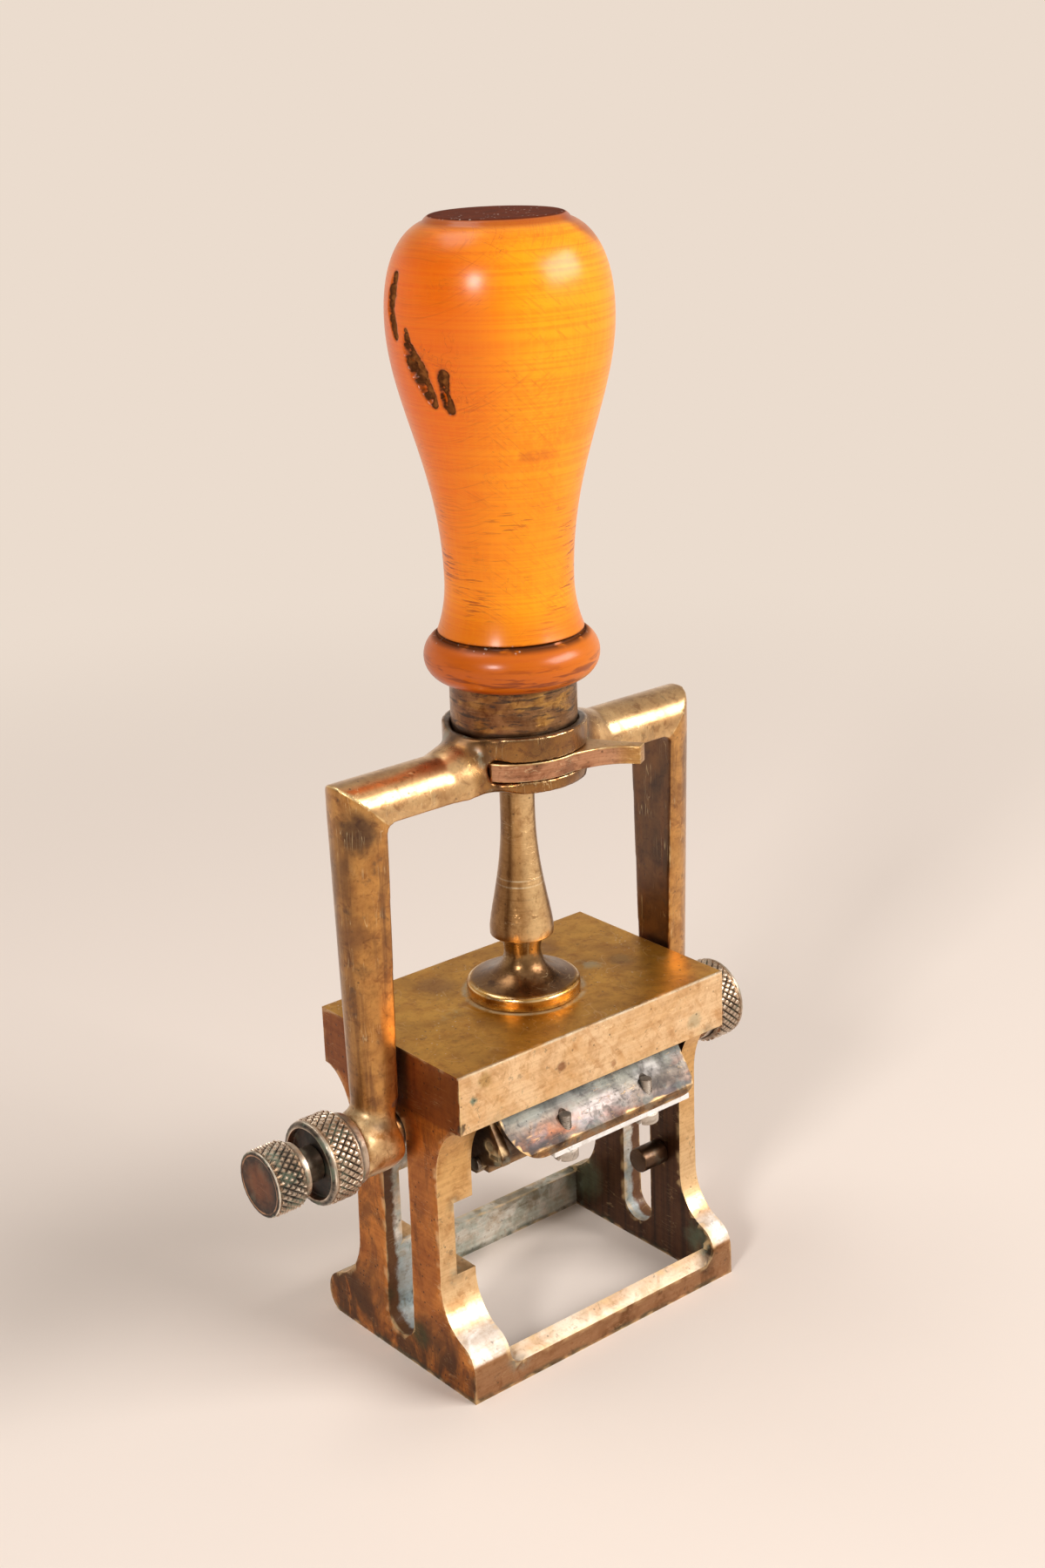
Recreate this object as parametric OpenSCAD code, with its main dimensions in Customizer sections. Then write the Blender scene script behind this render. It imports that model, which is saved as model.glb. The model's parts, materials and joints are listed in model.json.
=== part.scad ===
// Self-inking date stamp: a brass frame, a sprung plunger and a type head that turns over.
// The origin is the middle of the foot on the ground. X runs along the block, -Y is the front.
// The model stands at rest: plunger up, print face turned up against the ink pad.

/* [Foot and block] */
// Length of the foot along X
foot_l = 71.5; // [68:0.5:76]
// Width of the foot from front to rear
foot_w = 48; // [46:0.5:56]
// Length of the block on top of the cheeks
block_l = 70; // [68:0.5:74]
// Width of the block from front to rear
block_w = 44.4; // [40:0.1:48]
// Height of the block's top face
frame_h = 71.2; // [69.5:0.1:76]
// Height of the block's front face
block_t = 12.3; // [10:0.1:12.8]
// Thickness of the metal over the ink pad
ceiling_t = 4; // [3:0.1:4.6]
// How far the rear toe stands out past the foot
toe_out = 1.4; // [0.5:0.1:2.5]
// Radius of the rounded rear toe
toe_r = 5; // [4:0.1:6]
// Height of the foot's flat front edge
foot_edge = 6; // [4:0.1:8]
// Thickness of the front and rear bars of the foot
bar_t = 3.1; // [2.5:0.1:4]
// Height of the front bar at its inner edge
front_bar_h = 6.8; // [5.5:0.1:8.5]
// Height lost from the front bar's inner edge to its outer edge
front_bar_fall = 2; // [0:0.1:3]
// Radius of the fillets between the front bar and the cheeks
bar_fillet = 3; // [1:0.1:4]
// Height of the rear bar
rear_bar_h = 8.4; // [7:0.1:9]

/* [Cheeks] */
// Thickness of the left cheek
cheek_l = 8.7; // [7.5:0.1:9]
// Thickness of the right cheek
cheek_r = 4.5; // [3.5:0.1:5]
// Width of a cheek at its waist
waist_w = 27.2; // [24:0.1:30]
// Height of the hollow between the block and the waist
shoulder_drop = 13.5; // [9:0.1:16]
// Reach of the hollow above the foot at the rear
flare_w = 10.9; // [9:0.1:12]
// Height of that hollow
flare_h = 12.3; // [10:0.1:14]
// Height of the middle of that hollow
flare_z = 21.5; // [20:0.1:24]
// Reach of the hollow above the foot at the front
front_flare_w = 9.3; // [8:0.1:11]
// Height of the front hollow
front_flare_h = 11.2; // [9:0.1:12.5]
// Height of the middle of the front hollow
front_flare_z = 22.5; // [21:0.1:24]
// Width of the guide slot in each cheek
slot_w = 8.6; // [8.4:0.1:9.2]
// Depth of the notch inside the left cheek
notch_d = 4.75; // [2:0.05:5]
// Lower edge of the notch
notch_low = 23.1; // [21:0.1:26]
// Height of the notch
notch_h = 16.2; // [10:0.1:18]

/* [Flip stud] */
// Radius of the stud that turns the head over
stud_r = 2.7; // [2:0.1:2.8]
// Radius of the stud's riveted tail
stud_tail_r = 1.6; // [1.2:0.1:1.9]
// Distance of the stud in front of the slot's middle
stud_y = 7.3; // [7.2:0.1:8.5]
// Distance of the stud below the middle of the pivot's travel
stud_drop = 5.8; // [4.8:0.1:6.8]

/* [Motion] */
// Gap between the print face and the ground with the plunger down
ground_gap = 0.1; // [0.05:0.05:0.3]
// Gap over the lever with the plunger down
catch_gap = 1; // [0.6:0.1:1.5]
// Turn of the lock lever that catches the column's shoulder
lock_turn = 12; // [8:0.5:13]

/* [Column] */
// Radius of the column's flange
flange_r = 11.65; // [9:0.05:13]
// Thickness of the flange's rim
flange_t = 3; // [2:0.1:3.2]
// Radius of the neck above the flange
neck_r = 3.75; // [3:0.05:4.2]
// Height of the neck, from the block to the barrel's shoulder
neck_h = 12.8; // [12.4:0.1:14]
// Radius of the spigot that screws into the block
foot_spigot_r = 4.5; // [3:0.1:6]
// Length of that spigot
foot_spigot_h = 3.6; // [2:0.1:3.9]
// Radius of the spigot that carries the column
top_spigot_r = 2; // [1.5:0.1:2.6]
// Length of that spigot
top_spigot_h = 8; // [5:0.5:12]
// Radius of the barrel at its shoulder
barrel_r = 6.5; // [6:0.05:6.6]
// Length of the barrel and its taper
barrel_h = 26; // [20:0.5:30]
// Radius of the rod
rod_r = 3.5; // [3:0.05:4]
// Length of rod above the retainer
rod_over = 30; // [10:0.5:34]
// Outer radius of the retainer that stops the plunger
retainer_r = 8.1; // [7.8:0.05:8.2]
// Height of the retainer
retainer_h = 3.8; // [3:0.1:6]
// Height of the column's crisp shoulder, under its taper
shoulder_h = 1.8; // [1:0.1:3]

/* [Yoke] */
// Radius of the hub
hub_r = 14.35; // [14:0.05:16]
// Height of the hub
hub_h = 11.35; // [10.5:0.05:13]
// Thickness of the hub's floor
hub_floor = 7.5; // [7.2:0.1:8]
// Radius of the hub's bore, which passes over the barrel
hub_bore_r = 7; // [6.8:0.05:7.2]
// Half the width of an arm
arm_hw = 6.3; // [5:0.1:7]
// Depth of an arm and of a leg's top
arm_d = 8.2; // [7:0.1:9]
// Half the width of a leg at its foot
leg_hw = 4.4; // [3.8:0.1:5.5]
// Depth of a leg at its foot
leg_d = 7.4; // [6:0.1:8.5]
// Length of the flare between the hub and an arm
arm_flare = 6; // [5:0.5:12]
// How much wider the flare is at the hub, on each side
flare_over = 1.7; // [0:0.1:3]
// Depth of the flare's top below the hub's top
flare_under = 0.2; // [0.1:0.1:2]
// Radius of the boss at a leg's foot
boss_r = 6.3; // [5.8:0.1:7]
// Length of a boss
boss_l = 9.5; // [8:0.1:11]
// Gap between a leg and the frame's side
leg_clear = 0.55; // [0.4:0.05:1]
// Radius of the fillet inside each corner
inner_fillet = 1.5; // [1:0.5:4]

/* [Lock lever] */
// Height of the lever's slot in the hub
lever_slot_h = 4; // [3.5:0.1:4.2]
// Metal under the lever's slot
lever_sole = 2.5; // [2.3:0.1:2.8]
// Gap over and under the lever
lever_gap = 0.15; // [0.1:0.05:0.3]
// Place of the lever's screw to the right
lever_x = 6.7; // [6.2:0.1:7.2]
// Place of the lever's screw to the front
lever_y = 8.6; // [8.2:0.1:9]
// Reach of the lever's left end from its screw
lever_reach = 19; // [18:0.1:19.4]
// Distance of the lever's straight rear edge in front of the column's middle
lever_rear = 3; // [2.6:0.1:4]
// Angle of the slot's right end, seen from above
lever_end = -35; // [-38:1:-32]
// Radius of the lever's screw
lever_screw_r = 1.5; // [1.2:0.1:1.8]
// Radius of that screw's head
lever_head_r = 2.5; // [2.1:0.1:2.8]
// Height of that screw's head
lever_head_h = 1; // [0.6:0.1:1.4]
// Reach of the thumb tab past the hub
tab_out = 9.2; // [5:0.1:12]

/* [Handle] */
// Height of the whole stamp
total_h = 226.4; // [220:0.1:245]
// Largest radius of the handle
handle_r = 21.4; // [19:0.1:24]
// Radius of the handle's waist
waist_r = 12.5; // [12:0.1:14]
// Radius of the flat top
top_r = 13.3; // [10:0.1:16]
// Distance of the largest radius below the top
belly_drop = 18.4; // [14:0.1:22]
// Height of the waist above the bead
waist_rise = 10; // [7:0.1:13]
// Radius of the bead
bead_r = 17.2; // [15:0.1:19]
// Height of the bead
bead_h = 9.6; // [8:0.1:11]
// Radius of the lip above the bead
lip_r = 14.25; // [13.5:0.05:15.5]
// Outer radius of the ferrule
ferrule_r = 12.5; // [12:0.05:12.7]
// Wall of the ferrule
ferrule_t = 1.6; // [1.2:0.1:1.9]
// Length of ferrule that shows between the hub and the bead
ferrule_show = 8.6; // [6:0.1:11]
// Wood left over the spring
crown_t = 19; // [14:0.5:24]

/* [Return spring] */
// Radius of the spring's wire
wire_r = 0.8; // [0.5:0.05:1]
// Number of turns
coils = 9; // [7:1:12]
// Thickness of the seat at the spring's top
seat_t = 2; // [1:0.1:3]

/* [Pivot screws] */
// Radius of the sleeve that runs in the slot
sleeve_r = 4.05; // [3.8:0.05:4.1]
// Radius of the pin that carries the head
pin_r = 3; // [2.6:0.05:3.2]
// Radius of the large knurled head
knurl_r = 8.8; // [7.5:0.1:9]
// Length of the large knurled head
knurl_l = 7.4; // [5:0.1:9]
// Radius of the shoulder behind it
shoulder_r = 7.5; // [6.5:0.1:8]
// Length of the shoulder behind it
shoulder_l = 1.8; // [1:0.1:3]
// Width of the rim round the recess in its face
rim_w = 1; // [0.6:0.1:2]
// Depth of that recess
recess_d = 1.5; // [0.5:0.1:2.5]

/* [Date spindle] */
// Radius of the spindle
spindle_r = 1.9; // [1.5:0.05:2]
// Radius of the small knurled knob
knob_r = 7; // [5.5:0.1:7.4]
// Length of the small knob's knurl
knob_l = 6.8; // [5:0.1:8]
// Radius of the knob's plain collar
collar_r = 5.8; // [4.5:0.1:6.4]
// Length of the collar
collar_l = 1.6; // [1:0.1:3]
// Radius of the knob's neck
neck_knob_r = 3.6; // [3:0.1:4.5]
// Length of the knob's neck that shows
neck_knob_l = 3.1; // [2:0.1:5]
// Length of spindle held in the knob, from the collar's face
spindle_in = 3.5; // [2:0.1:6]

/* [Type wheels] */
// Number of date wheels
wheel_n = 5; // [3:1:6]
// Gap between the rims of two wheels
wheel_gap = 0.8; // [0.5:0.1:1.2]
// Length of the spacer at each end of the wheels
spacer_l = 7.2; // [5:0.1:9]
// Distance across a wheel's flats
wheel_af = 18.8; // [17.5:0.1:18.9]
// Number of faces on a wheel
wheel_faces = 12; // [10:1:12]
// Radius of a wheel's hub
wheel_hub_r = 3.6; // [3:0.1:5]
// Thickness of the detent leaf
leaf_t = 0.5; // [0.3:0.05:0.7]
// Width of a detent finger
finger_w = 2.4; // [1.5:0.1:4]
// Reach of a finger past the spindle
finger_over = 1.5; // [0:0.1:3]

/* [Type head] */
// Height of the print face above the pivot
print_r = 9.7; // [9.5:0.05:9.8]
// Thickness of an end plate
plate_t = 2; // [1.6:0.1:2.2]
// Length of the hub on the left end plate
plate_hub_l = 2.9; // [2:0.1:3.2]
// Radius of the hubs on the end plates
plate_hub_r = 4.4; // [4:0.1:4.5]
// Thickness of a side rail
rail_t = 2; // [1.8:0.1:2.4]
// Thickness of a text plate
text_t = 2; // [1.5:0.1:2.3]
// Thickness of the flip cam
cam_t = 5.6; // [4:0.1:5.8]
// Radius of the flip cam
cam_r = 11.5; // [9.5:0.1:12]
// Gap between the cam and the block above it
cam_under = 0.7; // [0.4:0.1:1.5]
// Width of the cam's prong
prong_w = 4.8; // [3:0.1:5.5]
// Distance of the prong's rear face in front of the pivot
prong_in = 1.2; // [0.8:0.1:2]
// How far the prong's end stops short of the cam's radius
prong_short = 0.5; // [0:0.1:2]
// Gap between the end plate and the flip cam
cam_gap = 0.6; // [0.5:0.05:1]
// Radius of the screws that hold the end plates
end_screw_r = 0.75; // [0.5:0.05:0.85]
// Length of those screws in the rails
end_screw_l = 3.4; // [2:0.1:6]
// Distance of those screws below the pivot
end_screw_low = 7.5; // [6.5:0.1:8]
// Radius of their heads
end_head_r = 1.4; // [1.1:0.05:1.7]
// Height of the heads on the left
end_head_h = 0.8; // [0.4:0.1:0.9]
// Distance of the left plate's ear behind the wing's lip
ear_in = 2.7; // [2.2:0.1:3.5]
// Gap between the ear's tip and the wing's slope
ear_gap = 0.4; // [0.3:0.1:0.8]
// How far the ear reaches below the wing, and the slot below the hole
ear_low = 2.4; // [2.2:0.1:3]
// Distance of the hole in the ear from the head's front
ear_hole_in = 3; // [2.4:0.1:3.6]
// Radius of the hole in the left plate's ear
ear_hole_r = 1.1; // [0.8:0.1:1.4]
// Length of the short slot under that hole
ear_slot_l = 2.6; // [1.5:0.1:3]
// Height of that slot
ear_slot_h = 0.9; // [0.5:0.1:1.1]

/* [Wing] */
// Thickness of the bent wing plate
wing_t = 1.6; // [1.2:0.1:2]
// Height of the wing's flat above the pivot
wing_top = 4.9; // [4.2:0.1:5.2]
// Width of the wing's flat
wing_flat = 4.1; // [3:0.1:4.4]
// Run of the wing's slope to the front
wing_run = 5.7; // [4.5:0.1:6]
// Fall of the wing's slope
wing_fall = 8.3; // [7:0.1:9]
// Height of the wing's lip
lip_h = 1.8; // [1.2:0.1:2.5]
// How far the wing passes the left end plate's inner face
wing_over_l = 0.7; // [0.3:0.1:1.5]
// How far the wing passes the right end plate's inner face
wing_over_r = 5.4; // [3:0.1:6.5]
// Radius of the wing's left front corner
wing_corner_l = 8.5; // [2:0.1:8.5]
// Radius of the wing's right front corner
wing_corner_r = 3.5; // [2:0.1:4.5]
// Thickness of the steel strip under the wing
strip_t = 1.2; // [0.8:0.1:1.6]
// Length of the steel strip
strip_l = 37; // [30:0.1:38]
// Distance of the strip's right end from the wing's right end
strip_in = 1.5; // [0.5:0.1:4]
// Radius of the clamp screws
clamp_r = 1.3; // [1:0.05:1.5]
// Radius of the clamp screws' heads
clamp_head_r = 2.6; // [2:0.1:2.8]
// Height of the clamp screws' heads
clamp_head_h = 2.2; // [1.5:0.1:2.5]
// Distance of the clamp screws behind the wing's lip
clamp_in = 2.2; // [1.8:0.1:2.6]
// Length of screw standing out of the wing
clamp_out = 1.3; // [0.5:0.1:1.3]
// Distance between the clamp screws
clamp_pitch = 22; // [16:0.5:26]
// Distance of the right clamp screw from the strip's right end
clamp_end = 10.4; // [8:0.1:12]
// Thickness of the rear clamp bar
rear_bar_t = 1.8; // [1.2:0.1:2.2]
// Height of the rear clamp bar
rear_clamp_h = 6; // [4.5:0.1:8]
// Length of the rails left bare at each end of the rear clamp bar
rear_bar_in = 4; // [2:0.1:6]
// Radius of the rear clamp screws
rear_screw_r = 0.9; // [0.6:0.05:1.1]
// Radius of their heads
rear_head_r = 2.1; // [1.5:0.1:2.4]
// Height of their heads
rear_head_h = 1.4; // [0.8:0.1:1.8]

/* [Ink pad] */
// Gap between the print face and the pad
pad_gap = 0.5; // [0.4:0.05:0.6]
// Thickness of the pad
pad_t = 3.4; // [3:0.1:3.5]
// Width of the pad tray from front to rear
tray_w = 29.4; // [28.6:0.1:32]
// Wall of the tray
tray_t = 0.8; // [0.6:0.1:1]
// How far the pad stands out of the tray
pad_proud = 0.2; // [0.1:0.05:0.4]
// How far the tray passes the left end plate
tray_over_l = 0.9; // [0.5:0.1:1]
// How far the tray passes the right end plate
tray_over_r = 0.3; // [0.1:0.1:0.5]
// Radius of the tray's screws
tray_screw_r = 1.2; // [0.9:0.1:1.5]
// Height of the tray screws' heads
tray_head_h = 0.8; // [0.5:0.05:0.9]
// Distance of each tray screw from the tray's end
tray_screw_in = 5.8; // [4:0.1:9]

/* [Hidden] */

$fn = 96;
eps = 0.01;

// Clearances: running fits, seats inside one body, and free gaps between bodies
run = 0.05;
seat = 0.02;
free = 0.3;
fit = 0.1;

// Small bevel on turned edges
bevel = 0.5;
// Width of the screwdriver slots
driver_w = 0.7;

// Frame, from the block down
block_low = frame_h - block_t;
ceiling_z = frame_h - ceiling_t;

// Ink pad under the ceiling, pivot under the pad, and travel down to the ground
pad_z = ceiling_z - tray_t - tray_head_h - 2 * fit - pad_t;
pivot_z = pad_z - pad_gap - print_r;
low_pivot_z = print_r + ground_gap;
travel = pivot_z - low_pivot_z;
stud_z = (pivot_z + low_pivot_z) / 2 - stud_drop;
in_l = -block_l / 2 + cheek_l;
in_r = block_l / 2 - cheek_r;
bar_in = foot_w / 2 - bar_t;
slot_play = 0.66;
slot_low = low_pivot_z - slot_w / 2 - slot_play;

// Type head, from the left cheek to the right cheek
end_play = 0.4;
cam_play = 0.9;
plate_l = in_l + end_play + plate_hub_l;
span_l = plate_l + plate_t;
cam_x = in_r - cam_play - cam_t;
plate_r = cam_x - cam_gap - plate_t;
span_r = plate_r;
span_mid = (span_l + span_r) / 2;
wheel_r = wheel_af / 2 / cos(180 / wheel_faces);
wheel_play = 0.75;
rail_in = wheel_r + wheel_play;
head_hw = rail_in + rail_t;
text_low = print_r - text_t;
text_in = sqrt(max(16, pow(wheel_r + free + 0.2, 2) - pow(text_low, 2)));
leaf_top = -wheel_r - free - 0.05;
stack_l = span_r - span_l - 2 * spacer_l;
wheel_pitch = stack_l / wheel_n;
wheel_w = wheel_pitch - wheel_gap;
wheel_x0 = span_l + spacer_l;

// Wing and its clamp
wing_bend = head_hw + wing_flat;
wing_front = wing_bend + wing_run;
wing_tip = wing_top - wing_fall;
wing_foot = wing_tip - lip_h;
wing_l = span_l - wing_over_l;
wing_r = span_r + wing_over_r;
strip_r = wing_r - strip_in;
strip_low = wing_foot - strip_t;
clamp_y = -wing_front + clamp_in;

// Ink pad
tray_l = span_l - plate_t - tray_over_l;
tray_r = span_r + plate_t + tray_over_r;
tray_low = pad_z + pad_proud;
tray_thread = 0.7 * ceiling_t;

// Column and plunger, from the block up
barrel_z = frame_h + neck_h;
lever_low = barrel_z + travel - catch_gap - lever_slot_h;
hub_z = lever_low - lever_sole;
hub_top = hub_z + hub_h;
stop_z = hub_z + hub_floor;
retainer_z = stop_z + free;
rod_top = retainer_z + retainer_h + rod_over;
counter_r = ferrule_r + 0.1;
bead_z = hub_top + ferrule_show;
groove_z = bead_z + bead_h;
handle_bore_r = retainer_r + 0.4;
bore_top = total_h - crown_t;
spring_low = retainer_z + retainer_h + free;
spring_top = bore_top - seat_t - free;
coil_r = handle_bore_r - 0.7 - wire_r;
leg_in = max(foot_l, block_l) / 2 + leg_clear;
slice = 0.5;
boss_out = leg_in + boss_l;
knurl_x = boss_out + free + shoulder_l;
knob_x = knurl_x + knurl_l + neck_knob_l;
recess_r = knurl_r - bevel - rim_w;
spindle_end = span_r + plate_t + 2;
lever_pos = [lever_x, -lever_y];

// Points on a cubic curve, without its first point
function bez(p, t) = pow(1 - t, 3) * p[0] + 3 * t * pow(1 - t, 2) * p[1]
    + 3 * t * t * (1 - t) * p[2] + pow(t, 3) * p[3];
function curve(p, n) = [for (i = [1:n]) bez(p, i / n)];

// Points on an elliptical arc
function arc(c, a, b, from, to, n) =
    [for (i = [0:n]) let (w = from + (to - from) * i / n) c + [a * cos(w), b * sin(w)]];

// Solids drawn across X, across Y and turned round X
module across_x(x0, x1) {
    translate([x0, 0, 0]) rotate([90, 0, 90]) linear_extrude(x1 - x0) children();
}

module across_y(y0, y1) {
    translate([0, y1, 0]) rotate([90, 0, 0]) linear_extrude(y1 - y0) children();
}

module rod_x(r, x0, x1) {
    translate([x0, 0, 0]) rotate([0, 90, 0]) cylinder(r = r, h = x1 - x0);
}

module rod_y(r, y0, y1) {
    translate([0, y1, 0]) rotate([90, 0, 0]) cylinder(r = r, h = y1 - y0);
}

module turned_x(points) {
    rotate([0, 90, 0]) rotate_extrude() polygon(points);
}

module at_pivot() {
    translate([0, 0, pivot_z]) children();
}

// A screwdriver slot across a head, cut from the head's face
module driver_slot(r, w, d) {
    translate([-r - 1, -w / 2, -d]) cube([2 * r + 2, w, d + 1]);
}

// Side view of the casting: block, hollows under it, waist, hollows above the foot, nose and toe
module side_view() {
    waist = waist_w / 2;
    block = block_w / 2;
    front = foot_w / 2;
    rear = front + toe_out - toe_r;
    toe_z = 0.92 * toe_r;
    toe_end = acos(-toe_z / toe_r) - 90;
    upper = arc([block, block_low - shoulder_drop], block - waist, shoulder_drop, 90, 180, 14);
    rear_low = arc([waist + flare_w, flare_z], flare_w, flare_h, 180, 255, 14);
    front_low = arc([waist + front_flare_w, front_flare_z], front_flare_w, front_flare_h, 180, 255, 14);
    toe = arc([rear, toe_z], toe_r, toe_r, 75, -toe_end, 12);
    tip = front_low[len(front_low) - 1];
    out = front - tip[0];
    fall = tip[1] - foot_edge;
    nose = curve([tip, tip + [0.55 * out, -0.15 * fall], [front, foot_edge + 0.55 * fall],
        [front, foot_edge]], 6);
    rear_pts = concat([[block, frame_h]], upper, rear_low, toe);
    front_pts = concat([[block, frame_h]], upper, front_low, nose, [[front, 0]]);
    n = len(front_pts);
    mirrored = [for (i = [0:n - 1]) [-front_pts[n - 1 - i][0], front_pts[n - 1 - i][1]]];
    polygon(concat(rear_pts, mirrored));
}

// Front view of the casting, a little wider at the foot
module front_view() {
    polygon([[-foot_l / 2, 0], [foot_l / 2, 0], [block_l / 2, flare_z + flare_h],
        [block_l / 2, frame_h], [-block_l / 2, frame_h], [-block_l / 2, flare_z + flare_h]]);
}

// The window between the cheeks, and the opening down through the foot
module window_view() {
    far = foot_w;
    slope = front_bar_fall / bar_t;
    polygon([[-bar_in, -1], [bar_in, -1], [bar_in, rear_bar_h], [far, rear_bar_h],
        [far, block_low], [-far, block_low], [-far, front_bar_h - slope * (far - bar_in)],
        [-bar_in, front_bar_h]]);
}

// Rounds the corner between the front bar and a cheek
module corner_fillet(x, s) {
    low = front_bar_h - front_bar_fall;
    across_y(-foot_w, -bar_in)
    difference() {
        translate([s > 0 ? x - 1 : x - bar_fillet, low - 1]) square([bar_fillet + 1, bar_fillet + 1]);
        translate([x + s * bar_fillet, low + bar_fillet]) circle(r = bar_fillet);
    }
}

module guide_slot(x0, x1) {
    top = pivot_z + slot_play / 2;
    low = slot_low + slot_w / 2;
    translate([0, 0, top]) rod_x(slot_w / 2, x0, x1);
    translate([0, 0, low]) rod_x(slot_w / 2, x0, x1);
    translate([x0, -slot_w / 2, low]) cube([x1 - x0, slot_w, top - low]);
}

module frame() {
    side = foot_l / 2 + 1;
    color([0.62, 0.43, 0.20])
    difference() {
        intersection() {
            across_x(-side, side) side_view();
            across_y(-foot_w, foot_w) front_view();
        }
        difference() {
            across_x(in_l, in_r) window_view();
            corner_fillet(in_l, 1);
            corner_fillet(in_r, -1);
        }
        guide_slot(-side, in_l + eps);
        guide_slot(in_r - eps, side);
        translate([in_l - notch_d, -foot_w, notch_low]) cube([notch_d + eps, 2 * foot_w, notch_h]);
        translate([tray_l - 2 * fit, -tray_w / 2 - 2 * fit, block_low - eps])
            cube([tray_r - tray_l + 4 * fit, tray_w + 4 * fit, ceiling_z - block_low + eps]);
        translate([0, 0, frame_h - foot_spigot_h - seat])
            cylinder(r = foot_spigot_r + seat, h = foot_spigot_h + 1);
        tray_screw_places() translate([0, 0, ceiling_z - eps])
            cylinder(r = tray_screw_r + seat, h = tray_thread + seat);
        translate([0, -stud_y, stud_z]) rod_x(stud_tail_r + seat, in_r - 1, side);
    }
}

module flip_stud() {
    tip = plate_r + plate_t + cam_gap;
    color([0.45, 0.33, 0.24])
    translate([0, -stud_y, stud_z]) {
        rod_x(stud_r, tip, in_r);
        rod_x(stud_tail_r, in_r - eps, block_l / 2);
    }
}

// Turned foot of the column: spigot, flared flange, neck and upper spigot
module post_flange() {
    rim = frame_h + flange_t;
    flare = curve([[flange_r - bevel, rim], [flange_r * 0.6, rim + 0.9],
        [neck_r, rim + 2.2], [neck_r, rim + 0.65 * (barrel_z - rim)]], 14);
    color([0.50, 0.36, 0.24])
    rotate_extrude()
        polygon(concat([[0, frame_h - foot_spigot_h], [foot_spigot_r, frame_h - foot_spigot_h],
            [foot_spigot_r, frame_h], [flange_r, frame_h], [flange_r, rim - bevel],
            [flange_r - bevel, rim]], flare,
            [[neck_r + bevel, barrel_z], [top_spigot_r, barrel_z],
            [top_spigot_r, barrel_z + top_spigot_h], [0, barrel_z + top_spigot_h]]));
}

// Barrel with a crisp lower shoulder, tapering into the rod
module column() {
    bore = top_spigot_r + seat;
    cap = barrel_z + top_spigot_h + seat;
    start = barrel_z + shoulder_h;
    end = barrel_z + barrel_h;
    taper = curve([[barrel_r, start], [barrel_r - 0.6, start + barrel_h * 0.2],
        [rod_r, start + barrel_h * 0.5], [rod_r, end]], 20);
    color([0.63, 0.45, 0.22])
    rotate_extrude()
        polygon(concat([[0, cap], [bore, cap], [bore, barrel_z], [barrel_r, barrel_z],
            [barrel_r, start]], taper,
            [[rod_r, rod_top - bevel], [rod_r - bevel, rod_top], [0, rod_top]]));
}

module column_retainer() {
    color([0.55, 0.52, 0.46])
    translate([0, 0, retainer_z])
    difference() {
        cylinder(r = retainer_r, h = retainer_h);
        translate([0, 0, -1]) cylinder(r = rod_r + seat, h = retainer_h + 2);
    }
}

// One closed tube wound upwards, with its ends cut square
module return_spring() {
    steps = 12 * coils;
    sides = 6;
    rise = spring_top - spring_low - 2 * wire_r;
    ring = [for (i = [0:steps]) for (k = [0:sides - 1])
        let (w = 360 * coils * i / steps, v = 360 * k / sides, r = coil_r + wire_r * cos(v))
        [r * cos(w), r * sin(w), spring_low + wire_r + rise * i / steps + wire_r * sin(v)]];
    walls = [for (i = [0:steps - 1]) for (k = [0:sides - 1]) for (half = [0, 1])
        let (a = i * sides + k, b = i * sides + (k + 1) % sides)
        half == 0 ? [a, b, b + sides] : [a, b + sides, a + sides]];
    first = [for (k = [0:sides - 1]) sides - 1 - k];
    last = [for (k = [0:sides - 1]) steps * sides + k];
    color([0.40, 0.40, 0.42])
    polyhedron(points = ring, faces = concat(walls, [first, last]), convexity = 12);
}

module spring_seat() {
    color([0.50, 0.49, 0.46])
    translate([0, 0, bore_top - seat_t]) cylinder(r = handle_bore_r - seat, h = seat_t);
}

module tray_screw_places() {
    for (x = [tray_l + tray_screw_in, tray_r - tray_screw_in]) translate([x, 0, 0]) children();
}

module pad_tray() {
    l = tray_r - tray_l;
    color([0.50, 0.38, 0.20])
    difference() {
        translate([tray_l, -tray_w / 2, tray_low]) cube([l, tray_w, ceiling_z - tray_low]);
        translate([tray_l + tray_t, -tray_w / 2 + tray_t, tray_low - 1])
            cube([l - 2 * tray_t, tray_w - 2 * tray_t, ceiling_z - tray_t - tray_low + 1]);
        tray_screw_places() translate([0, 0, tray_low])
            cylinder(r = tray_screw_r + seat, h = ceiling_z - tray_low + 1);
    }
}

module ink_pad() {
    side = tray_t + fit;
    color([0.10, 0.09, 0.12])
    translate([tray_l + side, -tray_w / 2 + side, pad_z])
        cube([tray_r - tray_l - 2 * side, tray_w - 2 * side, pad_t]);
}

module tray_screws() {
    head_z = ceiling_z - tray_t;
    color([0.55, 0.42, 0.20])
    tray_screw_places() {
        translate([0, 0, head_z - tray_head_h]) cylinder(r = 2 * tray_screw_r, h = tray_head_h);
        translate([0, 0, head_z - eps]) cylinder(r = tray_screw_r, h = tray_t + tray_thread);
    }
}

// Flat on one side, straight flanks, round outside
module d_section(hw, d) {
    intersection() {
        union() {
            translate([-hw, 0]) square([2 * hw, max(0.5, d - hw)]);
            translate([0, d - hw]) circle(r = hw, $fn = 32);
        }
        translate([-hw, 0]) square([2 * hw, d]);
    }
}

// An arm's section stood across X, its flat side down
module arm_slice(x, hw, d, t = slice) {
    translate([x, 0, hub_z]) rotate([90, 0, 90]) linear_extrude(t) d_section(hw, d);
}

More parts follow.
